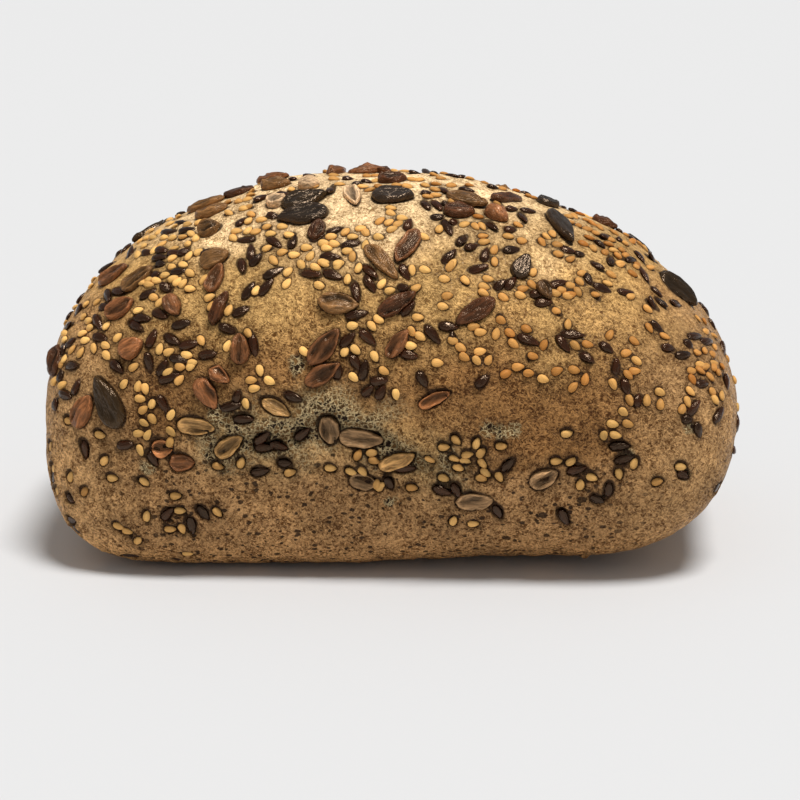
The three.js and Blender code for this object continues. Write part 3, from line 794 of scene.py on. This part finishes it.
def crust_finish(look):
    """Golden dome and duller tin side, with a grainy skin, pores below the tear and a torn edge.

    Winding wrinkles, fine specks, blotches and slow mottles add up to how light the crust is:
    partly its own grain, partly painted light on the raised wrinkles and painted shade between
    them. The attribute rough says how strongly that shows, tin where pores open and tear where it
    is torn. The pores' insides, the gaps in the torn crumb and the crust round each seed are
    darkened as painted shade.
    """
    material, tree, shader = new_finish("baked_crust", Specular_IOR_Level=0.12)
    place = add_node(tree, "TexCoord").outputs["Object"]
    tint = attribute(tree, "tint", "Color")
    tin, tear, gap, rough = (attribute(tree, name) for name in ("tin", "tear", "seed_gap", "rough"))

    # The wrinkles are drawn light over specks, blotches and mottles: partly the crust's grain, partly
    # painted light on raised wrinkles and painted shade between them.
    wrinkles = winding_lines(tree, place, size=1.5, thickness=0.09, distortion=1.5)
    specks = patches(tree, place, size=0.62, softness=0.05)
    blotches = patches(tree, place, size=1.2, softness=0.08)
    mottles = patches(tree, place, size=4.5, softness=0.15, detail=4, roughness=0.65)
    shade = total(tree, -0.2, (wrinkles, 0.72), (specks, 0.36), (blotches, 0.4), (mottles, 0.36))
    shade = add_node(tree, "Mix", {0: rough, 2: 0.5, 3: shade}, data_type="FLOAT").outputs[0]
    deep = blend(tree, 1.0, tint, DEEPEST, "MULTIPLY")
    bright = blend(tree, 1.0, tint, BRIGHTEST, "MULTIPLY")
    colour = blend(tree, shade, deep, bright)

    # Pores a little wider than high, bent out of round, their insides darkened as painted shade.
    uneven = bent(tree, stretched(tree, place, (1, 1, 1.3)), size=1.6, amount=1.2)
    pore = calc(tree, "MAXIMUM", pores(tree, uneven, size=2.0, rare=0.1, widest=0.4),
                pores(tree, uneven, size=4.6, rare=0.5, widest=0.3))
    hole = calc(tree, "MULTIPLY", pore, tin)
    colour = blend(tree, calc(tree, "MULTIPLY", hole, 0.9), colour, opaque(look.pores))

    # The torn edge: curly pale threads over rough beige crumb, its gaps darkened as painted shade.
    crumpled = bent(tree, place, size=0.9, amount=2.0)
    net = walls(tree, crumpled, CRUMB_SIZE, thickness=0.17)
    each = red_of(tree, cells(tree, crumpled, CRUMB_SIZE)["Color"])
    crumb = blend(tree, spread(tree, each, 0.25, 0.65), opaque(look.crumb), opaque(look.crumb_gaps))
    colour = blend(tree, tear, colour, blend(tree, net, crumb, opaque(look.threads)))

    # Painted shade round the seeds: a dark painted contact shadow close to each, wider above a sunk
    # seed, and a fainter, wider ring of painted shade.
    close, wide = spread(tree, gap, -0.05, 0.4, 1, 0), spread(tree, gap, 0, 2.2, 1, 0)
    rim = total(tree, 0.0, (close, 0.6), (wide, 0.3))
    tree.links.new(blend(tree, rim, colour, opaque(look.seed_shadows)), shader.inputs["Base Color"])

    tree.links.new(spread(tree, specks, 0, 1, *CRUST_ROUGHNESS), shader.inputs["Roughness"])
    height = total(tree, 0.0, (shade, 1.5), (hole, -3.0), (calc(tree, "MULTIPLY", net, tear), 2.0))
    bump(tree, shader, height, depth=0.16)
    return material


def seed_finish(name, stripe, contrast, depth, **fixed):
    """A seed's own tint with lengthwise streaks that follow it, and fine wrinkles along them."""
    material, tree, shader = new_finish(name, Specular_Tint=WARM_GLOSS, **fixed)
    drawn = stretched(tree, attribute(tree, "seed_place", "Vector"), STREAK_DRAW)
    streaks = patches(tree, drawn, stripe, softness=0.15, detail=3)
    shade = spread(tree, streaks, 0, 1, 1 - contrast, 1 + contrast)
    tint = attribute(tree, "tint", "Color")
    tree.links.new(blend(tree, 1.0, tint, shade, "MULTIPLY"), shader.inputs["Base Color"])
    bump(tree, shader, streaks, depth)
    return material


# ---- the crust ----

def box_grid(steps):
    """Points of -1 to 1 on a box's six sides, shared along its edges, and the sides' quads."""
    count = np.array(steps)
    sides = []
    for axis in range(3):
        a, b = (axis + 1) % 3, (axis + 2) % 3
        i, j = np.meshgrid(np.arange(count[a]), np.arange(count[b]), indexing="ij")
        for end in (0, count[axis]):
            quad = np.full(i.shape + (4, 3), end)
            quad[..., a] = i[..., None] + [0, 1, 1, 0]
            quad[..., b] = j[..., None] + [0, 0, 1, 1]
            sides.append((quad if end else quad[..., ::-1, :]).reshape(-1, 4, 3))
    corners = np.concatenate(sides)
    key = corners @ [1, count[0] + 1, (count[0] + 1) * (count[1] + 1)]
    _, first, index = np.unique(key, return_index=True, return_inverse=True)
    return 2 * corners.reshape(-1, 3)[first] / count - 1, index.ravel()


GAP_REACH = 3  # how far from a seed its gap and its pit are worked out
SLIMMEST = 0.3  # a seed's outline keeps this share of its width past the tip
SUNK_SHADOW_LINE = 0.1  # width of the painted shadow line round a sunk seed,
SUNK_SHADOW_ABOVE = 0.9  # and how much wider that painted shadow gets above the seed
PIT_DEPTH = 1.1  # of the pit a sunk seed lies in
PIT_EDGE = 0.4  # how far from the seed the pit begins, and how wide its slope is
PIT_SLOPE = 0.5
PIT_LIP = (0.3, 1.0, 0.6)  # height of the pit's lip, its distance from the seed and its width
LYING_LIP = (0.12, 0.3, 0.5)  # the same for the lip round a lying seed


def lip(to_edge, height, distance, width):
    return height * bell((to_edge - distance) / width)


def seed_gaps(points, every):
    """Distance of points to the nearest seed's outline, negative inside, and how deep its pit is.

    In a seed's own plane its outline is an ellipse that narrows towards the tip, and a point's
    distance to it is its distance from the seed's middle times 1 - 1/q, where q is how many
    times the outline has to grow to reach the point. Round a sunk seed the distance is cut short,
    most above the seed, so that the painted shadow drawn from it is wider there.
    """
    gap = np.full(len(points), float(GAP_REACH))
    pit = np.zeros(len(points))
    order = np.argsort(points[:, 0])
    across = points[order, 0]
    for seeds in every.values():
        side = seeds.side()
        for i, sunk in enumerate(seeds.sunk()):
            x = seeds.point[i, 0]
            reach = seeds.length[i] / 2 + GAP_REACH
            near = order[slice(*np.searchsorted(across, [x - reach, x + reach]))]
            step = points[near] - seeds.point[i]
            close = np.linalg.norm(step, axis=1) < reach
            near, step = near[close], step[close]
            along = step @ seeds.tip[i] / (seeds.length[i] / 2)
            wide = step @ side[i] / (seeds.width[i] / 2)
            grown = np.hypot(along, wide / np.maximum(1 - seeds.kind.taper * along, SLIMMEST)) + TINY
            from_middle = np.hypot(step @ seeds.tip[i], step @ side[i])
            to_edge = from_middle * (1 - 1 / grown)
            over = np.maximum(step[:, 2] / (from_middle + 0.5), 0)
            # Round a sunk seed the gap is cut short, most above it, to widen the painted shadow there.
            gap[near] = np.minimum(gap[near], to_edge - sunk * (SUNK_SHADOW_LINE + SUNK_SHADOW_ABOVE * over))
            if sunk:
                pit[near] += PIT_DEPTH * ease((PIT_EDGE - to_edge) / PIT_SLOPE) - lip(to_edge, *PIT_LIP)
            else:
                pit[near] -= lip(to_edge, *LYING_LIP)
    return gap, pit


PORE_DEPTH = 0.4


def crust_relief(points, tin, torn):
    """Fine relief: wrinkles all over, flat pores on the tin side, torn fibres along the tear."""
    wrinkles = layers(points, (0.2, 4.2, 3), (0.12, 2.1, 4))
    fibres = layers(points, (0.6, 1.8, 6), (0.5, 3.4, 7))
    flat_pores = ease((noise(points * [1, 1, 1.6], 3.6, 5) - 0.3) / 0.25)
    return wrinkles - PORE_DEPTH * flat_pores * tin + fibres * torn


def dents(points):
    """Round dents: the depth of each times a smooth fall to nothing at its rim."""
    sunken = np.zeros(len(points))
    for centre, radius, (*_, depth) in zip(*circles_seen(DENTS), DENTS):
        sunken += depth * ease(1.5 * (1 - np.linalg.norm(points - centre, axis=1) / radius))
    return sunken


def band(above, along, width, middle, half_length):
    """A band along the tear's line, in millimetres: gaussian across it and flat-topped along it."""
    return bell(above / width) * bell(((along - middle) / half_length) ** 4)


STEEP_BELOW = 0.75  # the crust is steep where its normals point up by less than this
STEEP_FADE = 0.3
TIN_FROM = 2.5  # over the tear's line, and from here down the tin side
TIN_FADE = 7
END_FROM = 50  # from the middle, along the loaf
END_FADE = 26
LOW_FROM = 80  # the crust is browner from here down, partly painted shade
LOW_FADE = 30
CROWN_FROM = 74  # the crust is palest from here up, partly painted light
CROWN_FADE = 20
PAINTED_LIGHT_END_FROM = 62  # painted light: the left end and the foot are made lighter
PAINTED_LIGHT_FOOT = 16


def crust_zones(points, normals):
    """Shares of 0 to 1 at points of the crust: low, the browner lower half; end, the two ends; tin,
    the steep side below the tear; torn, the torn edge and the small torn patches; dust, the floury
    crust round it; crease, the fold under it. Each is a band or a smooth step, uneven by noise."""
    above, along = tear_height(points)
    rough = noise(points, 6, 8)
    steep = ease((STEEP_BELOW - normals[:, 2]) / STEEP_FADE)
    end = ease((abs(points[:, 0]) - END_FROM) / END_FADE)
    tin = ease((TIN_FROM - above + 3 * rough) / TIN_FADE) * steep * (1 - 0.75 * end)
    torn = band(above + 1.0 + 2.5 * rough, along, width=3.8, middle=-13, half_length=25)
    torn *= ease(1.3 + 1.8 * noise(points, 4, 9))
    dust = band(above + 1.0 + 3.0 * rough, along, width=9.0, middle=-12, half_length=34)
    crease = band(above + 0.8 + 2.5 * noise(points, 7, 13), along, width=1.1, middle=-2, half_length=38)
    crease *= ease(0.45 + 1.6 * noise(points, 5, 12))
    for centre, radius in zip(*circles_seen(TORN_PATCHES)):
        away = np.linalg.norm(points - centre, axis=1) / radius + 0.5 * noise(points, 2.5, 14)
        torn = np.maximum(torn, 0.85 * ease(2 * (1.1 - away)))
    torn = np.maximum(torn, 0.6 * dust * ease(0.7 + 1.5 * noise(points, 5, 15)))
    # The lower half is browner: partly baked colour, partly painted shade.
    low = ease((LOW_FROM - points[:, 2] + layers(points, (7, 14, 10), (4, 7, 11))) / LOW_FADE)
    return {"low": low, "end": end, "tin": tin, "torn": ease(1.7 * torn) * steep, "dust": dust * steep,
            "crease": crease * steep}


def crust_tints(points, look, zone):
    """Baked colour: pale gold on top, browner down to the rim, dull brown on the tin side.

    Each step moves the tint towards the next colour by its share, and the whole is made lighter
    and darker in patches. The palest crown and the browner lower half are partly baked colour and
    partly painted light on top and painted shade below, and painted light makes the crust lighter
    towards the left end and the foot.
    """
    rough = layers(points, (1, 14, 10), (0.6, 7, 11))
    # Palest crown on top and browner lower half: partly baked colour, partly painted light on top and
    # painted shade below.
    crown = ease((points[:, 2] - CROWN_FROM + 4 * rough) / CROWN_FADE)
    tint = np.array(look.dome)
    for name, share in (("belt", zone["low"]), ("crown", crown), ("tin_side", zone["tin"]),
                        ("ends", 0.8 * zone["end"] * zone["low"]), ("dust", 0.6 * zone["dust"])):
        tint = tint + (np.array(getattr(look, name)) - tint) * share[:, None]
    tone = 1 + 0.15 * rough + 0.15 * noise(points, 5, 16)
    # Painted light: lighter towards the left end and towards the foot.
    tone *= (1 + 0.35 * ease((-points[:, 0] - PAINTED_LIGHT_END_FROM) / 20)
             + 0.25 * ease((PAINTED_LIGHT_FOOT - points[:, 2]) / PAINTED_LIGHT_FOOT))
    return tint * tone[:, None]


NEARLY_FLAT = 1e-3  # points of the solid's form lower than this lie on its base


def build_crust(look, every):
    """The crust: a box's grid blown up to the loaf, moved out along its normals by the relief."""
    steps, corners = box_grid(CRUST_STEPS)
    spaced = np.tan(steps * CRUST_SPACING) / np.tan(CRUST_SPACING)
    base = crust_points(spaced * CRUST_BOX)
    normals = crust_normals(base)
    zone = crust_zones(base, normals)
    gap, pit = seed_gaps(base, every)
    raised = slow_relief(base) + crust_relief(base, zone["tin"], zone["torn"])
    sunken = dents(base) + pit + look.crease_depth / MM * zone["crease"]
    points = base + normals * (raised - sunken)[:, None]
    on_base = base[:, 2] < NEARLY_FLAT
    points[:, 2] = np.where(on_base, 0, np.maximum(points[:, 2], 0))
    points[on_base, :2] = base[on_base, :2]
    piece = add_mesh("crust", points, corners, np.full(len(corners) // 4, 4), crust_finish(look))
    add_tint(piece, crust_tints(base, look, zone))
    # The skin is rougher low down and smoother towards the ends.
    add_attribute(piece, "rough", 0.7 + 0.45 * zone["low"] - 0.35 * zone["end"])
    add_attribute(piece, "tin", zone["tin"])
    add_attribute(piece, "tear", zone["torn"])
    add_attribute(piece, "seed_gap", gap)
    return piece


# ---- the seeds ----

def seed_angles(kind):
    """The two angles of a seed's surface: v over it from pole to pole and u round it."""
    return np.meshgrid(np.linspace(0, np.pi, kind.rings + 1)[1:-1],
                       np.linspace(0, 2 * np.pi, kind.sides, endpoint=False), indexing="ij")


def with_poles(first, points, last):
    """The points of a seed's form in order: a pole, ring after ring, and the other pole."""
    return np.concatenate([[first], np.stack(points, -1).reshape(-1, 3), [last]])


def drop_form(kind, section=0.8, point=0.1):
    """A seed of half sizes 1 about its middle, its tip along Y and its flat sides up and down.

    Along it y = -cos v. Its half width is sin v, less the taper towards the tip, and its
    section is a superellipse in the turn u about Y.
    """
    v, u = seed_angles(kind)
    y = -np.cos(v)
    half = np.sin(v) * (1 - kind.taper * y) * (1 - point * ease(y) ** 2)
    x = half * np.cos(u)
    z = np.sign(np.sin(u)) * abs(np.sin(u)) ** section * half
    return with_poles([0, -1, 0], [x, y, z], [0, 1, 0])


def pumpkin_form(kind, crown=0.85, rim=0.2, blunt=0.25):
    """A flat oval, blunt at one end: its face is hollowed a little inside a raised rim.

    u turns about the middle and v goes over the edge from the top's middle to the underside's.
    At the distance r = (sin v)^0.8 from the middle the half thickness is the crown's height
    times (cos v)^0.7, plus a gaussian rim.
    """
    v, u = seed_angles(kind)
    r = np.sin(v) ** 0.8
    y = r * np.sin(u)
    x = r * np.cos(u) * (1 - kind.taper * y) * (1 - blunt * ease(y) ** 2)
    upper = rim * bell((r - 0.8) / 0.1) * (v < np.pi / 2)
    z = np.sign(np.cos(v)) * (crown * abs(np.cos(v)) ** 0.7 + upper)
    return with_poles([0, 0, crown], [x, y, z], [0, 0, -crown])


FURROW_WIDTH = 1.3  # of a kernel's lengthwise furrows,
FURROW_DRAW = 0.22  # as a share of how long they are
FURROW_STEP = 7.3  # in the noise, from one kernel to the next
PATTERN_STEP = 13.7  # the same for the streaks of its finish
FLAT_FROM = 0.5  # a sunk seed's upper face is flattened above this share of its
FLATTENING = 0.7  # half thickness, by this much
SEED_FLOOR = 0.02  # no seed reaches lower


def wrinkled(form, seeds, depth):
    """Each kernel's own lengthwise furrows: how far its upper face moves, and light or dark there.

    The furrows are noise drawn out along the kernel, deepest in the middle of the face, and a rim
    stands up round the edge. Sunk kernels are furrowed less and hollow in the middle. The second
    value paints the raised furrows lighter and the hollows darker, as painted light and shade, and
    the rim lighter.
    """
    half = np.stack([seeds.width, seeds.length, np.zeros(len(seeds.width))], -1) / 2
    drawn = form[None] * half[:, None] * [1, FURROW_DRAW, 0]
    drawn[..., 2] += np.arange(len(seeds.width))[:, None] * FURROW_STEP
    drawn = drawn.reshape(-1, 3)
    furrow = noise(drawn, FURROW_WIDTH, 30) + 0.5 * noise(drawn, FURROW_WIDTH / 2, 31)
    furrow = furrow.reshape(len(half), len(form)) - 0.2
    x, y, z = form.T
    edge = np.hypot(x / (1 - seeds.kind.taper * y), y)
    face = ease(2 * z) * ease((0.95 - edge) / 0.2)
    rim = bell((edge - 0.85) / 0.12)
    furrow = np.where(seeds.sunk()[:, None], 0.7 * furrow - 0.15 * bell(edge / 0.5), furrow)
    # Lighter where the furrows rise and darker in their hollows, as painted light and shade on the relief,
    # and a lighter rim.
    return depth * (furrow * face + 0.35 * rim * (z > 0)), 1 + 1.1 * furrow * face + 0.5 * rim


def build_seeds(name, seeds, form, tints, shading, material, unevenness, raised=0):
    """All seeds of one kind as one mesh: the form scaled, turned and laid at each place.

    Each point of a seed is its place + side * x + tip * y + normal * z, in half sizes, lifted so
    that the stated share of its thickness is in the crust, then moved by noise. The upper face of
    a sunk seed is flattened.
    """
    kind = seeds.kind
    thickness = kind.thickness * (1 + kind.stub * ease((seeds.width / seeds.length - 0.5) / 0.3))
    half = np.stack([seeds.width, seeds.length, thickness], -1) / 2
    local = form[None] * half[:, None]
    over = np.maximum(local[..., 2] - FLAT_FROM * half[:, 2:], 0)
    local[..., 2] += raised - seeds.sunk()[:, None] * FLATTENING * over
    axes = np.stack([seeds.side(), seeds.tip, seeds.normal], 1)
    lift = (0.5 - seeds.depth) * thickness + slow_relief(seeds.point)
    centre = seeds.point + seeds.normal * lift[:, None]
    points = (centre[:, None] + local @ axes).reshape(-1, 3)
    shift = np.stack([layers(points, (1, 2.2, 20 + k), (0.5, 1.1, 23 + k)) for k in range(3)], -1)
    points = points + unevenness * shift
    points[:, 2] = np.maximum(points[:, 2], SEED_FLOOR)
    corners, sizes = closed_faces(kind.rings - 1, kind.sides)
    corners = (corners[None] + len(form) * np.arange(len(seeds.point))[:, None]).ravel()
    piece = add_mesh(name, points, corners, np.tile(sizes, len(seeds.point)), material)
    each = tints[:, None] * np.broadcast_to(shading, local.shape[:2])[..., None]
    add_tint(piece, each.reshape(-1, 3))
    own = np.repeat(np.arange(len(seeds.point)) * PATTERN_STEP, len(form))
    add_attribute(piece, "seed_place", (local.reshape(-1, 3) + own[:, None]) * MM)
    return piece


def varied(tints, amount, rng):
    """Tints made lighter and darker at random, each by its own factor."""
    return tints * rng.normal(1, amount, (len(tints), 1)).clip(0.5, 1.6)


def toned(seeds, look, amount, seed):
    """Each seed's noted tone as a tint, varied at random."""
    tints = np.array([getattr(look, tone) for tone in seeds.tone])
    return varied(tints, amount, np.random.default_rng(seed))


# ---- the add-on ----

def length_property(name, description, millimetres):
    return FloatProperty(name=name, description=description, default=millimetres * MM, min=0,
                         unit="LENGTH", precision=4)


def colour_property(name, description, code):
    return FloatVectorProperty(name=name, description=description, default=srgb(code), subtype="COLOR",
                               min=0, max=1)


class BreadCrust(PropertyGroup):
    # crown: palest, partly baked colour and partly painted light from above
    crown: colour_property("Crown", "Palest crust on the very top", "f6d4a2")
    dome: colour_property("Dome", "Pale golden crust on top", "c69d61")
    # belt: browner, partly baked colour and partly painted shade
    belt: colour_property("Belt", "Browner crust between the dome and the tin's rim", "886137")
    tin_side: colour_property("Tin side", "Dull brown crust baked against the tin", "a17a4f")
    ends: colour_property("Ends", "Smoother crust low on the two ends", "a98458")
    dust: colour_property("Dust", "Floury crust round the torn edge", "b49663")
    # painted shade inside the tin side's pores
    pores: colour_property("Pores", "Inside of the tin side's pores", "33200f")
    crumb: colour_property("Crumb", "Rough crumb of the torn edge", "7e5d35")
    # painted shade in the gaps of the torn crumb
    crumb_gaps: colour_property("Crumb gaps", "Dark gaps in the torn edge's crumb", "241305")
    threads: colour_property("Threads", "Pale threads across the torn edge", "efd29c")
    # painted shadow where a seed meets the crust, wider above a sunk seed
    seed_shadows: colour_property("Rims", "Dark line where a seed meets the crust", "251206")
    crease_depth: length_property("Crease depth", "Depth of the fold under the torn edge", 0.9)


class BreadSizes(PropertyGroup):
    """The usual length, width and thickness of each kind of seed."""
    __annotations__ = {
        f"{kind.name}_{size}": length_property(f"{kind.name.capitalize()} {size}",
                                               f"Usual {size} of a {kind.name} seed", getattr(kind, size))
        for kind in KINDS for size in SIZES
    }


class BreadSeeds(PropertyGroup):
    dark: colour_property("Dark kernels", "Darkest roasted sunflower kernels", "492917")
    red: colour_property("Red kernels", "Red-brown sunflower kernels", "764a2c")
    orange: colour_property("Orange kernels", "Orange-brown sunflower kernels", "855331")
    amber: colour_property("Amber kernels", "Light orange sunflower kernels in the tin side", "b37345")
    olive: colour_property("Olive kernels", "Olive-brown sunflower kernels", "75522f")
    tan: colour_property("Tan kernels", "Sunflower kernels baked into the tin side", "b08550")
    dull: colour_property("Dull kernels", "Greyer kernels baked into the tin side", "967450")
    pale: colour_property("Pale kernels", "Sunflower kernels that stayed pale", "dbb489")
    grey: colour_property("Grey kernels", "Grey-brown sunflower kernels", "5b3f25")
    green: colour_property("Green pumpkin", "Dark green pumpkin seeds", "281b0c")
    black: colour_property("Black pumpkin", "Blackened pumpkin seeds", "261b13")
    flax: colour_property("Flax", "Flax seeds", "2d1206")
    pale_sesame: colour_property("Pale sesame", "Sesame seeds that stayed pale", "fbc473")
    toasted_sesame: colour_property("Toasted sesame", "Sesame seeds that browned", "a8601f")


class BreadStage(PropertyGroup):
    floor: colour_property("Floor", "Plain pale floor", "d9d9d9")
    floor_half: length_property("Floor reach", "Half the side of the square floor", 4000)
    sun: FloatProperty(name="Key light", description="Strength of the soft light from above", default=2.98)
    sun_angle: FloatProperty(name="Key softness", description="Angle the key light is spread over",
                             default=np.radians(18), subtype="ANGLE")
    sky: FloatProperty(name="Fill light", description="Strength of the light from all round", default=0.32)


SUN_FROM = Vector((0.24, -0.2, 1.0))
FLOOR_DROP = 0.01  # of the floor under the loaf, in millimetres


class BREAD_OT_stage(Operator):
    """Make the floor, the lights and the camera"""
    bl_idname = "bread.stage"
    bl_label = "Set Stage"

    def execute(self, context):
        look = context.scene.bread_stage
        self.make_floor(look)
        self.make_lights(context.scene, look)
        self.make_camera(context.scene)
        context.scene.view_settings.view_transform = "Standard"
        return {"FINISHED"}

    def make_floor(self, look):
        steps = np.array([[-1, -1, 0], [1, -1, 0], [1, 1, 0], [-1, 1, 0]])
        material, _, shader = new_finish("floor", Roughness=0.9)
        shader.inputs["Base Color"].default_value = opaque(look.floor)
        points = steps * look.floor_half / MM - [0, 0, FLOOR_DROP]
        add_mesh("floor", points, np.arange(4), np.array([4]), material)

    def make_lights(self, scene, look):
        world = bpy.data.worlds.new("studio")
        world.use_nodes = True
        world.node_tree.nodes["Background"].inputs["Color"].default_value = (1, 1, 1, 1)
        world.node_tree.nodes["Background"].inputs["Strength"].default_value = look.sky
        scene.world = world
        light = bpy.data.lights.new("key", "SUN")
        light.energy = look.sun
        light.angle = look.sun_angle
        key = bpy.data.objects.new("key", light)
        key.rotation_euler = SUN_FROM.to_track_quat("Z", "Y").to_euler()
        scene.collection.objects.link(key)

    def make_camera(self, scene):
        lens = bpy.data.cameras.new("view")
        lens.sensor_width = SENSOR
        lens.lens = SENSOR * VIEW_DISTANCE / (VIEW_PIXELS * MM_PER_PIXEL)
        camera = bpy.data.objects.new("view", lens)
        axes = Matrix((VIEW_RIGHT, VIEW_UP, VIEW_BACK)).transposed().to_4x4()
        camera.matrix_world = Matrix.Translation(VIEW_FROM * MM) @ axes
        scene.collection.objects.link(camera)
        scene.camera = camera


class BREAD_OT_crust(Operator):
    """Make the crust, in the place of the loaf's solid"""
    bl_idname = "bread.crust"
    bl_label = "Make Crust"

    def execute(self, context):
        crust = build_crust(context.scene.bread_crust, seeds_for(context))
        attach(crust, "root")
        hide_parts("loaf")
        return {"FINISHED"}


class BREAD_OT_sunflower(Operator):
    """Lay the sunflower kernels"""
    bl_idname = "bread.sunflower"
    bl_label = "Lay Sunflower Kernels"

    def execute(self, context):
        seeds = seeds_for(context)["sunflower"]
        tints = toned(seeds, context.scene.bread_seeds, 0.12, 21)
        finish = seed_finish("sunflower_kernel", stripe=0.6, contrast=0.3, depth=0.16, Roughness=0.22,
                             Specular_IOR_Level=0.5)
        form = drop_form(seeds.kind, section=0.65, point=0.15)
        raised, shading = wrinkled(form, seeds, depth=0.95)
        piece = build_seeds("sunflower_seeds", seeds, form, tints, shading.clip(0.25, 1.8), finish,
                            unevenness=0.3, raised=raised)
        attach(piece, "root")
        return {"FINISHED"}


class BREAD_OT_pumpkin(Operator):
    """Lay the pumpkin seeds"""
    bl_idname = "bread.pumpkin"
    bl_label = "Lay Pumpkin Seeds"

    def execute(self, context):
        seeds = seeds_for(context)["pumpkin"]
        tints = toned(seeds, context.scene.bread_seeds, 0.1, 22)
        finish = seed_finish("pumpkin_seed", stripe=0.9, contrast=0.25, depth=0.16, Roughness=0.17,
                             Specular_IOR_Level=0.65)
        form = pumpkin_form(seeds.kind)
        raised, shading = wrinkled(form, seeds, depth=0.3)
        piece = build_seeds("pumpkin_seeds", seeds, form, tints, shading.clip(0.5, 1.5), finish,
                            unevenness=0.25, raised=raised)
        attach(piece, "root")
        return {"FINISHED"}


class BREAD_OT_flax(Operator):
    """Lay the flax seeds, paler at the tip"""
    bl_idname = "bread.flax"
    bl_label = "Lay Flax Seeds"

    def execute(self, context):
        seeds = seeds_for(context)["flax"]
        tints = np.tile(np.array(context.scene.bread_seeds.flax), (len(seeds.point), 1))
        tints[seeds.sunk()] *= 0.85
        tints = varied(tints, 0.3, np.random.default_rng(23))
        finish = seed_finish("flax_seed", stripe=0.7, contrast=0.3, depth=0.1, Roughness=0.18,
                             Specular_IOR_Level=0.6)
        form = drop_form(seeds.kind, section=0.7, point=0.2)
        shading = 0.85 + 0.6 * ease((form[:, 1] - 0.5) / 0.5)
        piece = build_seeds("flax_seeds", seeds, form, tints, shading, finish, unevenness=0.14)
        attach(piece, "root")
        return {"FINISHED"}


SUNK_SESAME = (0.8, 0.8, 0.84)  # sunk seeds are duller by this


class BREAD_OT_sesame(Operator):
    """Lay the sesame seeds, more toasted to the right and on the very top, darker low down"""
    bl_idname = "bread.sesame"
    bl_label = "Lay Sesame Seeds"

    def execute(self, context):
        look = context.scene.bread_seeds
        seeds = seeds_for(context)["sesame"]
        rng = np.random.default_rng(24)
        x, _, z = seeds.point.T
        right_of_dome = ease((x + 2) / 42) * ease((z - 36) / 20)
        toast = 0.12 + 0.5 * right_of_dome + 0.35 * ease((z - 84) / 8)
        toast = np.clip(toast + rng.normal(0, 0.15, len(toast)), 0, 1)[:, None]
        tints = (1 - toast) * np.array(look.pale_sesame) + toast * np.array(look.toasted_sesame)
        darker_low = 1 - 0.32 * ease((54 - z) / 14)[:, None]
        tints *= np.where(seeds.sunk()[:, None], SUNK_SESAME, darker_low)
        finish = seed_finish("sesame_seed", stripe=0.5, contrast=0.08, depth=0.04, Roughness=0.42,
                             Specular_IOR_Level=0.2)
        form = drop_form(seeds.kind)
        shading = 1 - 0.3 * ease((form[:, 1] - 0.55) / 0.45)
        piece = build_seeds("sesame_seeds", seeds, form, varied(tints, 0.1, rng), shading, finish,
                            unevenness=0.1)
        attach(piece, "root")
        return {"FINISHED"}


GROUPS = {BreadCrust: "bread_crust", BreadSizes: "bread_sizes", BreadSeeds: "bread_seeds",
          BreadStage: "bread_stage"}
STEPS = (BREAD_OT_stage, BREAD_OT_crust, BREAD_OT_sunflower, BREAD_OT_pumpkin, BREAD_OT_flax,
         BREAD_OT_sesame)


class BREAD_PT_loaf(Panel):
    """Steps of the multiseed loaf, and its sizes and colours"""
    bl_idname = "BREAD_PT_loaf"
    bl_label = "Multiseed Bread"
    bl_space_type = "VIEW_3D"
    bl_region_type = "UI"
    bl_category = "Bread"

    def draw(self, context):
        for step in STEPS:
            self.layout.operator(step.bl_idname)
        for group, held_as in GROUPS.items():
            for name in group.__annotations__:
                self.layout.prop(getattr(context.scene, held_as), name)


def register():
    for item in (*GROUPS, *STEPS, BREAD_PT_loaf):
        bpy.utils.register_class(item)
    for group, name in GROUPS.items():
        setattr(bpy.types.Scene, name, PointerProperty(type=group))


def unregister():
    for name in GROUPS.values():
        delattr(bpy.types.Scene, name)
    for item in reversed((*GROUPS, *STEPS, BREAD_PT_loaf)):
        bpy.utils.unregister_class(item)


def main():
    register()
    bpy.ops.bread.stage()
    bpy.ops.bread.crust()
    bpy.ops.bread.sunflower()
    bpy.ops.bread.pumpkin()
    bpy.ops.bread.flax()
    bpy.ops.bread.sesame()


if __name__ == "__main__":
    main()
